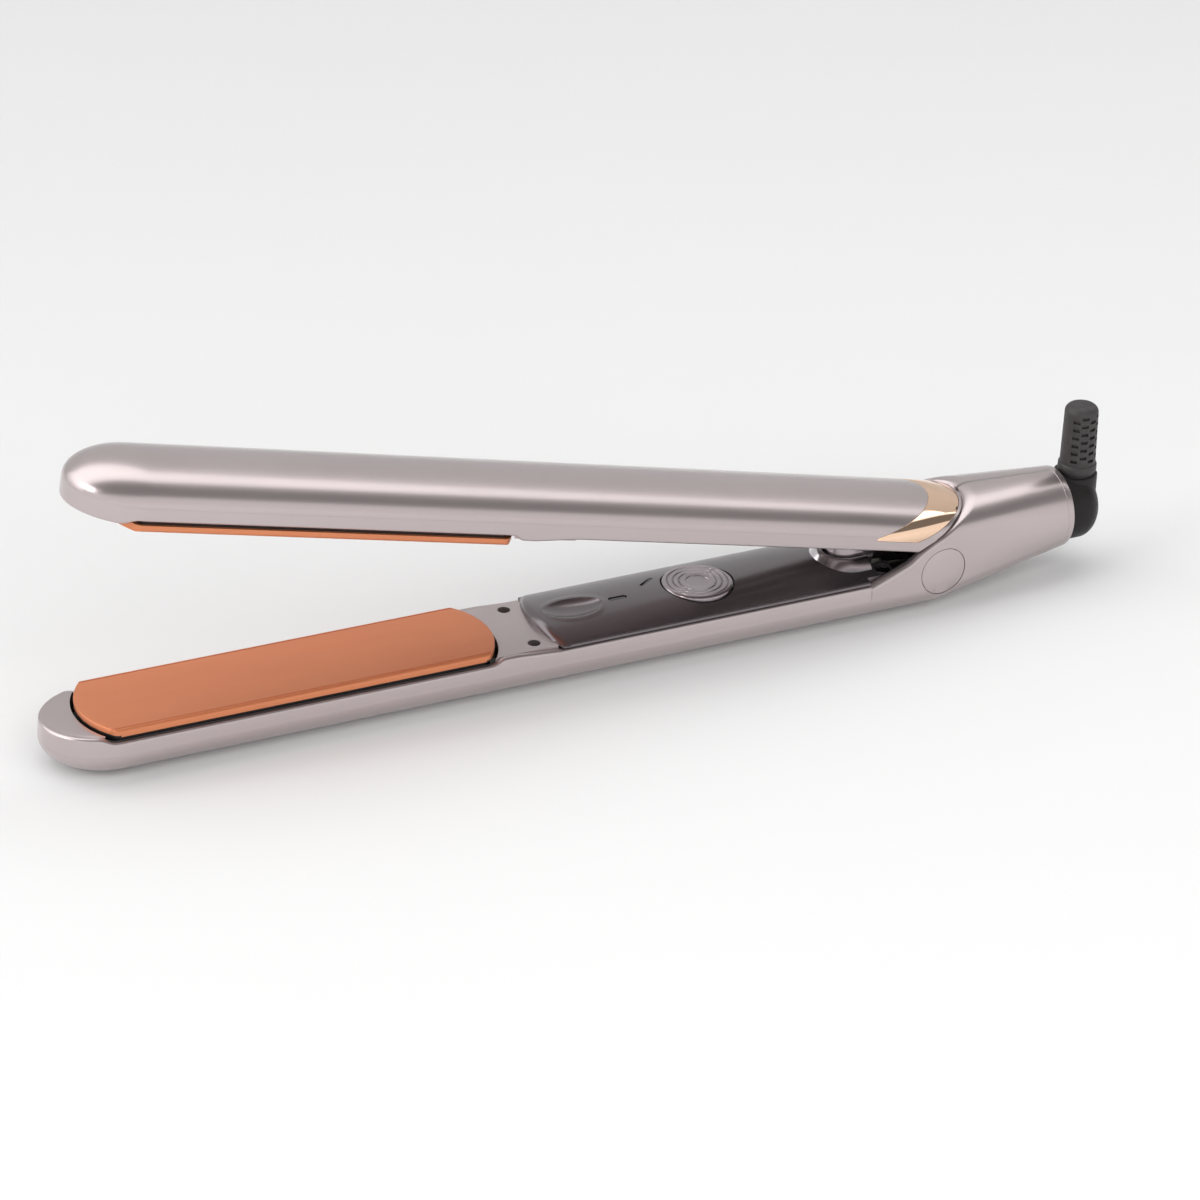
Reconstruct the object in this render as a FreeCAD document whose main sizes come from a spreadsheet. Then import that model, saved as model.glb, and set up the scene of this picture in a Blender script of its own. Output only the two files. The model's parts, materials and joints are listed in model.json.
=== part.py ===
"""Hair flat iron: two hinged arms with floating plates, one push button and a cord swivel.

Millimetres. Every piece is first made in the closed iron's own axes: x runs from the tip
(x = 0) to the swivel, y across the arm, and z = 0 is the plane in which the two plates meet.
The lower arm lies at negative z and the upper arm at positive z. Placements then set the
iron on its flat base, centred on the origin, with the upper arm turned open about the hinge.
"""
import FreeCAD, Part
import math
import os
import sys
from types import SimpleNamespace

from FreeCAD import Placement, Rotation, Vector

# Driving dimensions: alias, value, meaning.
DIMENSIONS = (
    ("total_length", 271.0, "tip to the back of the swivel"),
    ("arm_half_width", 13.5, "half the width of an arm"),
    ("crease_depth", 6.2, "mating plane to the line where the side starts to round"),
    ("arm_depth", 13.85, "mating plane to the back of an arm's full round"),
    ("base_depth", 13.5, "mating plane to the flat that the iron stands on"),
    ("nose_length", 16.0, "length of the rounded nose"),
    ("wall", 1.8, "wall of the arm mouldings"),
    ("flat_drop", 1.6, "mating plane to the flat at the nose and behind the plate"),
    ("side_drop", 2.8, "mating plane to the rim beside the plate"),
    ("rear_drop", 2.4, "mating plane to the rim behind the plate"),
    ("deck_thick", 1.6, "thickness of the flat decks"),
    ("seam_gap", 0.05, "half the gap between two mouldings"),
    ("plate_start", 9.0, "tip to the front of the plate"),
    ("plate_length", 100.0, "plate, end to end"),
    ("plate_width", 25.0, "plate, side to side"),
    ("plate_thick", 1.7, "plate, top to skirt"),
    ("plate_bow", 5.0, "depth of the rounded plate ends"),
    ("plate_bevel", 0.8, "bevel along the plate's long edges"),
    ("plate_gap", 0.6, "gap round the plate"),
    ("carrier_depth", 5.0, "mating plane to the back of the plate carrier"),
    ("heater_length", 70.0, "ceramic heater"),
    ("heater_width", 7.6, "ceramic heater"),
    ("heater_thick", 1.2, "ceramic heater"),
    ("pad_radius", 3.0, "silicone float pad"),
    ("pad_depth", 8.0, "mating plane to the back of a float pad"),
    ("screw_x", 116.8, "cover screws, from the tip"),
    ("screw_y", 8.6, "cover screws, from the middle"),
    ("panel_front", 119.8, "front edge of the control panel"),
    ("panel_rear", 210.2, "rear end of the control panel"),
    ("panel_half_width", 13.1, "half the width of the control panel"),
    ("panel_crown", 0.7, "height of the panel's middle above the mating plane"),
    ("panel_edge_drop", 1.4, "mating plane to the panel's side edge"),
    ("panel_base_drop", 2.0, "mating plane to the panel's underside"),
    ("panel_thick", 1.6, "panel wall"),
    ("dish_x", 130.5, "finger dish"),
    ("dish_half_length", 7.2, "finger dish"),
    ("dish_half_width", 4.5, "finger dish"),
    ("dish_deep", 1.3, "finger dish"),
    ("lamp_x", 142.1, "pill shaped indicator lamp"),
    ("lamp_length", 4.7, "pill shaped indicator lamp"),
    ("lamp_width", 1.5, "pill shaped indicator lamp"),
    ("button_x", 163.0, "power button"),
    ("button_radius", 8.5, "power button"),
    ("button_top", 0.9, "button face above the mating plane"),
    ("hinge_x", 222.4, "hinge axis, from the tip"),
    ("hinge_z", -2.15, "hinge axis, from the mating plane"),
    ("open_angle", 13.4, "arm opening in degrees"),
    ("pin_radius", 2.0, "hinge pin"),
    ("pin_clearance", 0.05, "radial play of the bushes on the pin"),
    ("cap_radius", 6.0, "hinge cap"),
    ("slot_x", 202.0, "centre of the round end of the tongue slot"),
    ("slot_radius", 5.5, "half the width of the tongue slot"),
    ("tongue_radius", 5.0, "half the width of the tongue"),
    ("housing_front", 203.0, "front of the hinge housing"),
    ("taper_start", 222.0, "where the housing starts to taper"),
    ("housing_end", 260.5, "rear face of the housing"),
    ("collar_width", 1.8, "rear collar"),
    ("swivel_z", 1.95, "swivel axis, from the mating plane"),
    ("swivel_end_radius", 9.95, "radius of the housing's rear end"),
    ("neck_radius", 5.44, "swivel neck"),
    ("neck_bore", 5.5, "bore that the swivel neck turns in"),
    ("hub_radius", 8.8, "swivel hub"),
    ("sleeve_x", 266.1, "bend relief, from the tip"),
    ("sleeve_foot_radius", 4.55, "bend relief at its foot"),
    ("sleeve_tip_radius", 4.1, "bend relief at its tip"),
    ("sleeve_foot", 4.0, "foot of the bend relief above the mating plane"),
    ("sleeve_top", 28.3, "tip of the bend relief above the mating plane"),
    ("cord_bore", 3.25, "bore for the cord"),
    ("trim_thick", 0.8, "trim"),
)

doc = FreeCAD.newDocument("FlatIron")
sheet = doc.addObject("Spreadsheet::Sheet", "D")
for row, (alias, value, meaning) in enumerate(DIMENSIONS, start=1):
    sheet.set(f"A{row}", meaning)
    sheet.set(f"B{row}", str(value))
    sheet.setAlias(f"B{row}", alias)
doc.recompute()
d = SimpleNamespace(**{alias: float(sheet.get(alias)) for alias, _, _ in DIMENSIONS})

X_AXIS = Vector(1, 0, 0)
Y_AXIS = Vector(0, 1, 0)
Z_AXIS = Vector(0, 0, 1)
HINGE = Vector(d.hinge_x, 0, d.hinge_z)
LOWER = Placement(Vector(-d.total_length / 2, 0, d.base_depth), Rotation())
UPPER = LOWER.multiply(Placement(Vector(), Rotation(Y_AXIS, d.open_angle), HINGE))
FAR = 300.0  # larger than the whole iron, for cutting blocks

nodes = {}


def node(name, piece, arm):
    """Names a finished piece and puts it in its place on the iron."""
    piece.Label = name
    piece.Placement = arm.multiply(piece.Placement)
    nodes[name] = piece
    return piece


# ---- small builders -------------------------------------------------------------------

def turn_to(axis):
    return Rotation(Z_AXIS, axis)


def box(name, size, corner):
    """A block; size holds expressions on the sheet, corner the place of its low corner."""
    piece = doc.addObject("Part::Box", name)
    for side, expression in zip(("Length", "Width", "Height"), size):
        piece.setExpression(side, expression)
    piece.Placement.Base = Vector(*corner)
    return piece


def rod(name, radius, height, base, axis=Z_AXIS):
    piece = doc.addObject("Part::Cylinder", name)
    piece.setExpression("Radius", radius)
    piece.setExpression("Height", height)
    piece.Placement = Placement(Vector(*base), turn_to(axis))
    return piece


def ready(name, shape):
    """A piece whose shape is worked out with Part's own functions."""
    piece = doc.addObject("Part::Feature", name)
    piece.Shape = shape
    return piece


def fuse(name, *pieces):
    result = doc.addObject("Part::MultiFuse", name)
    result.Shapes = list(pieces)
    return result


def cut(name, base, *tools):
    result = doc.addObject("Part::Cut", name)
    result.Base = base
    result.Tool = tools[0] if len(tools) == 1 else fuse(name + "_tools", *tools)
    return result


def group(name, *pieces):
    result = doc.addObject("Part::Compound", name)
    result.Links = list(pieces)
    return result


def slab(low, high, x_low=-10.0, x_high=FAR):
    """A block across the whole width between two heights."""
    return Part.makeBox(x_high - x_low, 80, high - low, Vector(x_low, -40, low))


def side_prism(points, half_width):
    """A prism across y from an outline in x and z."""
    wire = Part.makePolygon([Vector(x, -half_width, z) for x, z in points + points[:1]])
    return Part.Face(wire).extrude(Vector(0, 2 * half_width, 0))


def plan_prism(edges, low, high):
    """A prism along z from edges that close an outline at z = 0."""
    face = Part.Face(Part.Wire(Part.__sortEdges__(edges)))
    solid = face.extrude(Vector(0, 0, high - low))
    solid.translate(Vector(0, 0, low))
    return solid


def mirrored(shape):
    return shape.mirror(Vector(0, 0, 0), Z_AXIS)


def on_side(side, shape):
    return shape if side == "upper" else mirrored(shape)


def layer(side, near, thick):
    """Low z of a block whose face nearest the mating plane is at the depth near."""
    return near if side == "upper" else -near - thick


# ---- outlines -------------------------------------------------------------------------

def nose_outline(inset, x_end):
    """Edges of an arm seen from above: half an ellipse, then straight sides to x_end."""
    half = d.arm_half_width - inset
    ellipse = Part.Ellipse(Vector(d.nose_length, 0, 0), d.nose_length - inset, half)
    arc = Part.Arc(ellipse, math.pi / 2, 3 * math.pi / 2)
    left = Vector(d.nose_length, half, 0)
    right = Vector(d.nose_length, -half, 0)
    return [
        arc.toShape(),
        Part.makeLine(left, Vector(x_end, half, 0)),
        Part.makeLine(Vector(x_end, half, 0), Vector(x_end, -half, 0)),
        Part.makeLine(Vector(x_end, -half, 0), right),
    ]


def plate_outline(grow):
    """Edges of the plate's outline, moved outwards by grow."""
    x_low = d.plate_start - grow
    x_high = d.plate_start + d.plate_length + grow
    half = d.plate_width / 2 + grow
    corners = [
        Vector(x_low + d.plate_bow, half, 0), Vector(x_high - d.plate_bow, half, 0),
        Vector(x_high - d.plate_bow, -half, 0), Vector(x_low + d.plate_bow, -half, 0),
    ]
    return [
        Part.makeLine(corners[0], corners[1]),
        Part.Arc(corners[1], Vector(x_high, 0, 0), corners[2]).toShape(),
        Part.makeLine(corners[2], corners[3]),
        Part.Arc(corners[3], Vector(x_low, 0, 0), corners[0]).toShape(),
    ]


def stadium(x_front, x_rear, radius, low, high, y_mid=0.0, round_rear=False):
    """A tall block with a round front end, and a round rear end if asked."""
    solid = Part.makeBox(x_rear - x_front, 2 * radius, high - low,
                         Vector(x_front, y_mid - radius, low))
    solid = solid.fuse(Part.makeCylinder(radius, high - low, Vector(x_front, y_mid, low)))
    if round_rear:
        solid = solid.fuse(Part.makeCylinder(radius, high - low, Vector(x_rear, y_mid, low)))
    return solid.removeSplitter()


# ---- the form that the mouldings share -------------------------------------------------

def arm_form(inset, x_end):
    """An arm's outer form on the upper side, moved inwards by inset.

    A long half ellipse with an ellipsoid nose stands on a band with upright sides that
    reaches down to the mating plane.
    """
    nose = d.nose_length - inset
    half = d.arm_half_width - inset
    rise = d.arm_depth - d.crease_depth - inset
    run = (x_end - inset) / nose
    quarter = Part.Arc(Vector(0, 0, 0), Vector(1 - math.sqrt(0.5), 0, math.sqrt(0.5)),
                       Vector(1, 0, 1)).toShape()
    profile = Part.Wire([
        quarter,
        Part.makeLine(Vector(1, 0, 1), Vector(run, 0, 1)),
        Part.makeLine(Vector(run, 0, 1), Vector(run, 0, 0)),
        Part.makeLine(Vector(run, 0, 0), Vector(0, 0, 0)),
    ])
    unit = Part.Face(profile).revolve(Vector(0, 0, 0), X_AXIS, 180)
    unit.rotate(Vector(0, 0, 0), X_AXIS, 90 if unit.CenterOfMass.y < -0.01 else -90)
    if unit.CenterOfMass.z < 0:
        unit.rotate(Vector(0, 0, 0), X_AXIS, 180)
    scale = FreeCAD.Matrix()
    scale.scale(nose, half, rise)
    back = unit.transformGeometry(scale)
    back.translate(Vector(inset, 0, d.crease_depth))
    band = plan_prism(nose_outline(inset, x_end), 0.0, d.crease_depth)
    return back, band


def racetrack(x, inset):
    """The closed iron's outline at x, as four edges of one wire."""
    half = d.arm_half_width - inset
    rise = d.arm_depth - d.crease_depth - inset
    crease = d.crease_depth

    def cap(sign):
        top = Vector(x, 0, sign * (crease + rise))
        start = Vector(x, -sign * half, sign * crease)
        centre = Vector(x, 0, sign * crease)
        ellipse = Part.Ellipse(start, top, centre)
        return Part.Arc(ellipse, 0, math.pi).toShape()

    return Part.Wire([
        cap(1),
        Part.makeLine(Vector(x, half, crease), Vector(x, half, -crease)),
        cap(-1),
        Part.makeLine(Vector(x, -half, -crease), Vector(x, -half, crease)),
    ])


def end_circle(x, inset):
    """The housing's round rear outline, split where the racetrack has its corners."""
    radius = d.swivel_end_radius - inset
    lift = math.radians(27.0)
    middle = Vector(x, 0, d.swivel_z)

    def at(angle):
        return middle + Vector(0, math.cos(angle) * radius, math.sin(angle) * radius)

    stops = [math.pi - lift, lift, -lift, -math.pi + lift]
    mids = [math.pi / 2, 0.0, -math.pi / 2, math.pi]
    ends = stops[1:] + stops[:1]
    return Part.Wire([Part.Arc(at(a), at(m), at(b)).toShape()
                      for a, m, b in zip(stops, mids, ends)])


def housing_form(inset, x_start, x_stop):
    """The full round behind the arms, tapering to the swivel."""
    front = Part.Face(racetrack(x_start, inset)).extrude(Vector(d.taper_start - x_start, 0, 0))
    taper = Part.makeLoft([racetrack(d.taper_start, inset), end_circle(d.housing_end, inset)],
                          True, True)
    whole = front.fuse(taper)
    return whole.common(slab(-40, 40, x_start, x_stop))


# Side outlines in x and z. The shoulder of the housing follows the open upper arm's rear end
# at a small gap.
ARM_END = [(206.9, -3.4), (222.4, 10.1), (232.3, 16.1)]
SHOULDER = [(200.0, -3.66), (213.6, 2.05), (216.3, 4.35), (225.2, 9.35), (232.6, 11.7)]
LIP_GAP = 0.4
TRIM_OUTLINE = [(201.0, 5.2), (201.3, 5.93), (233.1, 20.0), (238.1, 20.0), (212.9, 5.2)]


def behind_end(shift=0.0):
    """Everything behind the rear end of the upper arm, moved along x by shift."""
    line = [(x + shift, z) for x, z in ARM_END]
    return side_prism(line + [(FAR, ARM_END[-1][1]), (FAR, ARM_END[0][1])], 40)


def open_end(y):
    """Place along x of the open upper arm's rear end at its outer skin."""
    share = min(1.0, abs(y) / d.arm_half_width)
    z = d.crease_depth + (d.arm_depth - d.crease_depth) * math.sqrt(1 - share ** 2)
    (x_low, z_low), (x_high, z_high) = ARM_END[:2] if z < ARM_END[1][1] else ARM_END[1:]
    x = x_low + (x_high - x_low) * (z - z_low) / (z_high - z_low)
    turn = math.radians(d.open_angle)
    return d.hinge_x + (x - d.hinge_x) * math.cos(turn) + (z - d.hinge_z) * math.sin(turn)


def end_room():
    """All in front of the housing's lip, whose plan hugs the open upper arm's rear end."""
    steps = 24
    rim = []
    for step in range(-steps, steps + 1):
        y = d.arm_half_width * math.sin(math.pi / 2 * step / steps)
        rim.append(Vector(open_end(y) + LIP_GAP, y, -20))
    curve = Part.BSplineCurve()
    curve.interpolate(rim)
    front = d.housing_front - 10
    corners = [rim[-1], Vector(front, rim[-1].y, -20), Vector(front, rim[0].y, -20), rim[0]]
    outline = Part.Wire([curve.toShape()] + Part.makePolygon(corners).Edges)
    return Part.Face(outline).extrude(Vector(0, 0, 60))


def above_shoulder():
    """Cut off the housing: all above the shoulder, but behind the hinge only up to the lip."""
    above = side_prism(SHOULDER + [(SHOULDER[-1][0], 40), (SHOULDER[0][0], 40)], 40)
    in_front = Part.makeBox(60, 80, 80, Vector(d.hinge_x - 60, -40, -20))
    return above.common(in_front).fuse(above.common(end_room()))


def below_shoulder():
    """Room for the shoulder when the iron is closed."""
    rise = 0.3
    line = [(x, z + rise) for x, z in SHOULDER]
    return side_prism(line + [(SHOULDER[-1][0], -20), (SHOULDER[0][0], -20)], 40)


# ---- fasteners and posts ----------------------------------------------------------------

SCREW_BORE = 1.0
SCREW_HEAD_RADIUS = 1.45
SCREW_HEAD_THICK = 1.0
SCREW_HOLE = 1.5
SCREW_SEAT = 4.0
BOSS_RADIUS = 2.2
BOSS_TOP = 5.0
BOSS_BOTTOM = 9.6


def upright(radius, low, high, x, y):
    return Part.makeCylinder(radius, high - low, Vector(x, y, low))


def both_sides(y):
    return (-y, y)


def cover_screw_places():
    return [(d.screw_x, y) for y in both_sides(d.screw_y)]


def pad_places():
    return [(30.0, 0.0), (88.0, 0.0)]


# ---- mouldings of both arms --------------------------------------------------------------

POST_SKIN = 0.6

def shell_back(x_end):
    """The rounded back of an arm with its posts for screws and float pads."""
    back, _ = arm_form(0, x_end)
    hollow, _ = arm_form(d.wall, x_end + 10)
    posts = [upright(BOSS_RADIUS, BOSS_TOP, 12.0, x, y) for x, y in cover_screw_places()]
    posts += [upright(d.pad_radius + 0.4, d.pad_depth, 13.0, x, y) for x, y in pad_places()]
    skin = arm_form(POST_SKIN, x_end)
    posts = [post.common(skin[0].fuse(skin[1])) for post in posts]
    shape = back.cut(hollow).fuse(posts)
    bores = [upright(SCREW_BORE, BOSS_TOP - 1, BOSS_BOTTOM, x, y) for x, y in cover_screw_places()]
    return shape.cut(Part.makeCompound(bores))


def inner_cover(x_end, decks):
    """The upright band of an arm with its decks at the nose and behind the plate."""
    crease = d.crease_depth - d.seam_gap
    _, band = arm_form(0, x_end)
    _, hollow = arm_form(d.wall, x_end + 10)
    deck_parts = []
    for x_low, x_high, drop in decks:
        deck_parts.append(band.common(slab(drop, drop + d.deck_thick, x_low, x_high)))
    ring = band.cut(hollow).common(slab(0, crease))
    posts = [upright(BOSS_RADIUS, d.flat_drop, BOSS_TOP - d.seam_gap, x, y)
             for x, y in cover_screw_places()]
    shape = ring.fuse(deck_parts + posts)
    low_front = slab(-1, d.flat_drop, -10, d.panel_front + 2)
    low_sides = slab(-1, d.side_drop, d.plate_start + d.plate_bow - d.plate_gap,
                     d.plate_start + d.plate_length - d.plate_bow + d.plate_gap)
    low_rear = slab(-1, d.rear_drop, d.panel_front + 2, FAR)
    window = plan_prism(plate_outline(d.plate_gap), -1, d.side_drop)
    well = plan_prism(plate_outline(d.plate_gap), -1, 6).common(hollow)
    holes = [upright(SCREW_HOLE, -1, SCREW_SEAT, x, y) for x, y in cover_screw_places()]
    holes += [upright(SCREW_BORE, -1, 6, x, y) for x, y in cover_screw_places()]
    for tool in [low_front, low_sides, low_rear, window, well] + holes:
        shape = shape.cut(tool)
    return shape


def cover_screws(side):
    """Two screws, heads down in the holes of the deck."""
    screws = []
    for x, y in cover_screw_places():
        head = upright(SCREW_HEAD_RADIUS, SCREW_SEAT - SCREW_HEAD_THICK, SCREW_SEAT, x, y)
        shank = upright(SCREW_BORE, SCREW_SEAT, BOSS_BOTTOM - 0.3, x, y)
        slot = Part.makeBox(2.0, 0.4, 0.5, Vector(x - 1.0, y - 0.2, SCREW_SEAT - SCREW_HEAD_THICK))
        screws.append(on_side(side, head.fuse(shank).cut(slot)))
    return Part.makeCompound(screws)


# ---- plates, carriers and heaters --------------------------------------------------------

def plate(side):
    blank = plan_prism(plate_outline(0), 0, d.plate_thick)
    half = d.plate_width / 2
    for sign in (-1, 1):
        lean = [(sign * (half - d.plate_bevel), -0.01), (sign * (half + 1), -0.01),
                (sign * (half + 1), d.plate_bevel + 1.0)]
        wire = Part.makePolygon([Vector(0, y, z) for y, z in lean + lean[:1]])
        blank = blank.cut(Part.Face(wire).extrude(Vector(FAR, 0, 0)))
    return on_side(side, blank)


def plate_carrier(side):
    """Holds the plate; its end tongues hook under the decks."""
    body = plan_prism(plate_outline(-0.9), d.plate_thick, d.carrier_depth)
    tongue_top = d.flat_drop + d.deck_thick + 0.1
    tongues = Part.makeBox(d.plate_length + 4, 9, d.carrier_depth - tongue_top,
                           Vector(d.plate_start - 2, -4.5, tongue_top))
    pocket = Part.makeBox(d.heater_length + 9, d.heater_width + 0.2, d.heater_thick + 0.1,
                          Vector(heater_start() - 0.5, -d.heater_width / 2 - 0.1, d.plate_thick))
    return on_side(side, body.fuse(tongues).cut(pocket))


def heater_start():
    return d.plate_start + (d.plate_length - d.heater_length) / 2


for arm_name, arm in (("lower", LOWER), ("upper", UPPER)):
    node(f"{arm_name}_plate", ready(f"{arm_name}_plate", plate(arm_name)), arm)
    node(f"{arm_name}_plate_carrier",
         ready(f"{arm_name}_plate_carrier", plate_carrier(arm_name)), arm)
    heater = box(f"{arm_name}_heater", ("D.heater_length", "D.heater_width", "D.heater_thick"),
                 (heater_start(), -d.heater_width / 2,
                  layer(arm_name, d.plate_thick, d.heater_thick)))
    node(f"{arm_name}_heater", heater, arm)
    sensor = box(f"{arm_name}_thermistor", ("4", "2.4", "1.1"),
                 (heater_start() + d.heater_length + 2, -1.2, layer(arm_name, d.plate_thick, 1.1)))
    node(f"{arm_name}_thermistor", sensor, arm)
    pads = [rod(f"{arm_name}_pad_{place}", "D.pad_radius", "D.pad_depth - D.carrier_depth",
                (x, y, layer(arm_name, d.carrier_depth, d.pad_depth - d.carrier_depth)))
            for place, (x, y) in enumerate(pad_places())]
    node(f"{arm_name}_float_pads", group(f"{arm_name}_float_pads", *pads), arm)
    node(f"{arm_name}_cover_screws",
         ready(f"{arm_name}_cover_screws", cover_screws(arm_name)), arm)

# ---- lower arm mouldings ------------------------------------------------------------------

BOARD_FRONT = 128.0
BOARD_LENGTH = 64.0
BOARD_HALF_WIDTH = 8.5
BOARD_TOP = -7.8
BOARD_THICK = 1.4
CHEEK_INNER = 8.7
END_WALL_FRONT = 256.5
CAP_SEAT = 12.2


def board_post_places():
    return [(BOARD_FRONT + inset, y) for inset in (4, BOARD_LENGTH - 4) for y in both_sides(6)]


def lower_shell():
    """Back of the lower arm in one moulding with the hinge housing."""
    arm_back = mirrored(shell_back(d.housing_front))
    outer = housing_form(0, d.housing_front, d.housing_end - d.collar_width - d.seam_gap)
    inner = housing_form(d.wall + 0.2, d.housing_front - 1, END_WALL_FRONT)
    bosses = [Part.makeCylinder(4.0, 3.5, Vector(d.hinge_x, y, d.hinge_z), Y_AXIS)
              for y in (CHEEK_INNER, -CHEEK_INNER - 3.5)]
    housing = outer.cut(inner).fuse(bosses).cut(above_shoulder())
    pin_bore = Part.makeCylinder(d.pin_radius, 23.2, Vector(d.hinge_x, -11.6, d.hinge_z), Y_AXIS)
    neck = Part.makeCylinder(d.neck_bore + 0.4, 10, Vector(252, 0, d.swivel_z), X_AXIS)
    seats = [Part.makeCylinder(d.cap_radius + 0.1, 3, Vector(d.hinge_x, y, d.hinge_z), Y_AXIS)
             for y in (CAP_SEAT, -CAP_SEAT - 3)]
    for tool in [pin_bore, neck] + seats:
        housing = housing.cut(tool)
    skin = mirrored(arm_form(POST_SKIN, d.housing_front)[0])
    posts = [upright(1.8, -12.5, BOARD_TOP - BOARD_THICK, x, y).common(skin)
             for x, y in board_post_places()]
    shape = arm_back.fuse(posts).fuse(housing)
    return shape.cut(slab(-40, -d.base_depth))


def panel_form(inset):
    """Crowned block of the control panel, its top moved down by inset."""
    half = d.panel_half_width
    sag = d.panel_crown + d.panel_edge_drop
    radius = (half ** 2 + sag ** 2) / (2 * sag)
    return Part.makeCylinder(radius - inset, FAR, Vector(0, 0, d.panel_crown - radius), X_AXIS)


def pill(x, y, length, width, low, high, angle=0.0):
    """A slot shaped block, round at both ends."""
    solid = stadium(-(length - width) / 2, (length - width) / 2, width / 2, low, high,
                    round_rear=True)
    solid.rotate(Vector(0, 0, 0), Z_AXIS, angle)
    solid.translate(Vector(x, y, 0))
    return solid


STATUS_X, STATUS_Y, STATUS_ANGLE = 152.0, 5.1, 36.0
STATUS_LENGTH, STATUS_WIDTH = 5.2, 0.9
PANEL_SCREW_X, PANEL_SCREW_Y = 207.8, 9.2
BEZEL_REAR = 205.2
BEZEL_FOOT_RADIUS, BEZEL_TOP_RADIUS, BEZEL_TOP = 8.6, 6.7, 2.1


def control_panel():
    """Crowned cover of the lower arm, from behind the cover screws to the hinge."""
    half = d.panel_half_width
    front = Part.makeCylinder(34.0, 20, Vector(d.panel_front + 34.0, 0, -8))
    block = Part.makeBox(d.panel_rear - d.panel_front, 2 * half, 12,
                         Vector(d.panel_front, -half, -d.panel_base_drop))
    keep = front.fuse(Part.makeBox(FAR, 60, 20, Vector(d.panel_front + 12, -30, -8)))
    shape = block.common(panel_form(0)).common(keep)
    hollow = Part.makeBox(d.panel_rear - d.panel_front - 10, 2 * (half - 2.4), 12,
                          Vector(d.panel_front + 5, -half + 2.4, -d.panel_base_drop - 6))
    shape = shape.cut(hollow.common(panel_form(d.panel_thick)))
    rear_block = Part.makeBox(20, 60, 20, Vector(d.housing_front - 0.3, -30, -8))
    rear_room = Part.makeBox(20, 22.6, 20, Vector(d.housing_front - 0.3, -11.3, -8))
    dish = Part.makeSphere(1.0)
    stretch = FreeCAD.Matrix()
    stretch.scale(d.dish_half_length, d.dish_half_width, d.dish_deep)
    dish = dish.transformGeometry(stretch)
    dish.translate(Vector(d.dish_x, 0, d.panel_crown))
    over_deck = Part.makeBox(3.4, 60, 4, Vector(d.panel_front - 1, -30, -4 - d.flat_drop))
    tools = [
        rear_block.cut(rear_room), dish, over_deck,
        upright(d.button_radius + 0.4, -8, 8, d.button_x, 0),
        pill(d.lamp_x, 0, d.lamp_length + 0.1, d.lamp_width + 0.1, -8, 8),
        pill(STATUS_X, STATUS_Y, STATUS_LENGTH, STATUS_WIDTH, -8, 8, STATUS_ANGLE),
        stadium(d.slot_x, d.panel_rear + 5, d.slot_radius + 1.1, -8, 8),
    ]
    for y in both_sides(PANEL_SCREW_Y):
        tools.append(upright(1.9, -1.3, 8, PANEL_SCREW_X, y))
        tools.append(upright(SCREW_BORE, -8, 8, PANEL_SCREW_X, y))
    for tool in tools:
        shape = shape.cut(tool)
    return shape


def slot_bezel():
    """Bright raised collar round the slot that the tongue dips into."""
    core = stadium(d.slot_x, BEZEL_REAR, d.slot_radius + 1.05, -d.panel_base_drop, 0.5)
    cone = Part.makeCone(BEZEL_FOOT_RADIUS, BEZEL_TOP_RADIUS, BEZEL_TOP, Vector(d.slot_x, 0, 0))
    slope = [(-BEZEL_FOOT_RADIUS, 0), (BEZEL_FOOT_RADIUS, 0), (BEZEL_TOP_RADIUS, BEZEL_TOP),
             (-BEZEL_TOP_RADIUS, BEZEL_TOP)]
    wire = Part.makePolygon([Vector(d.slot_x, y, z) for y, z in slope + slope[:1]])
    legs = Part.Face(wire).extrude(Vector(BEZEL_REAR - d.slot_x, 0, 0))
    collar = cone.fuse(legs).cut(panel_form(-0.02))
    inner = stadium(d.slot_x, BEZEL_REAR + 5, d.slot_radius, -8, 8)
    return core.fuse(collar).cut(inner)


def panel_brackets():
    """Ledges of the shell that carry the panel's rear screws."""
    return [Part.makeBox(5.6, 3.2, 3.0, Vector(PANEL_SCREW_X - 2.2, y, -d.panel_base_drop - 3.0))
            for y in (-10.0 - 1.6, 10.0 - 1.6)]


shell = lower_shell()
for ledge in panel_brackets():
    shell = shell.fuse(ledge)
for y in both_sides(PANEL_SCREW_Y):
    shell = shell.cut(upright(SCREW_BORE, -6, 0, PANEL_SCREW_X, y))
node("lower_shell", ready("lower_shell", shell), LOWER)

cover = inner_cover(d.housing_front - d.seam_gap,
                    [(-10, d.plate_start + d.plate_bow, d.flat_drop),
                     (d.plate_start + d.plate_length - d.plate_bow, d.panel_front + 2,
                      d.flat_drop)])
node("lower_inner_cover", ready("lower_inner_cover", mirrored(cover)), LOWER)
node("control_panel", ready("control_panel", control_panel()), LOWER)
node("slot_bezel", ready("slot_bezel", slot_bezel()), LOWER)

panel_screws = []
for y in both_sides(PANEL_SCREW_Y):
    head = upright(1.75, -1.3, -0.5, PANEL_SCREW_X, y)
    panel_screws.append(head.fuse(upright(SCREW_BORE, -5.5, -1.3, PANEL_SCREW_X, y)))
node("panel_screws", ready("panel_screws", Part.makeCompound(panel_screws)), LOWER)

# ---- controls and electronics --------------------------------------------------------------

BUTTON_FOOT = -2.9
BUTTON_STEM = -3.45
SWITCH_BODY_TOP = -5.0
PLUNGER_TOP = -4.3


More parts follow.
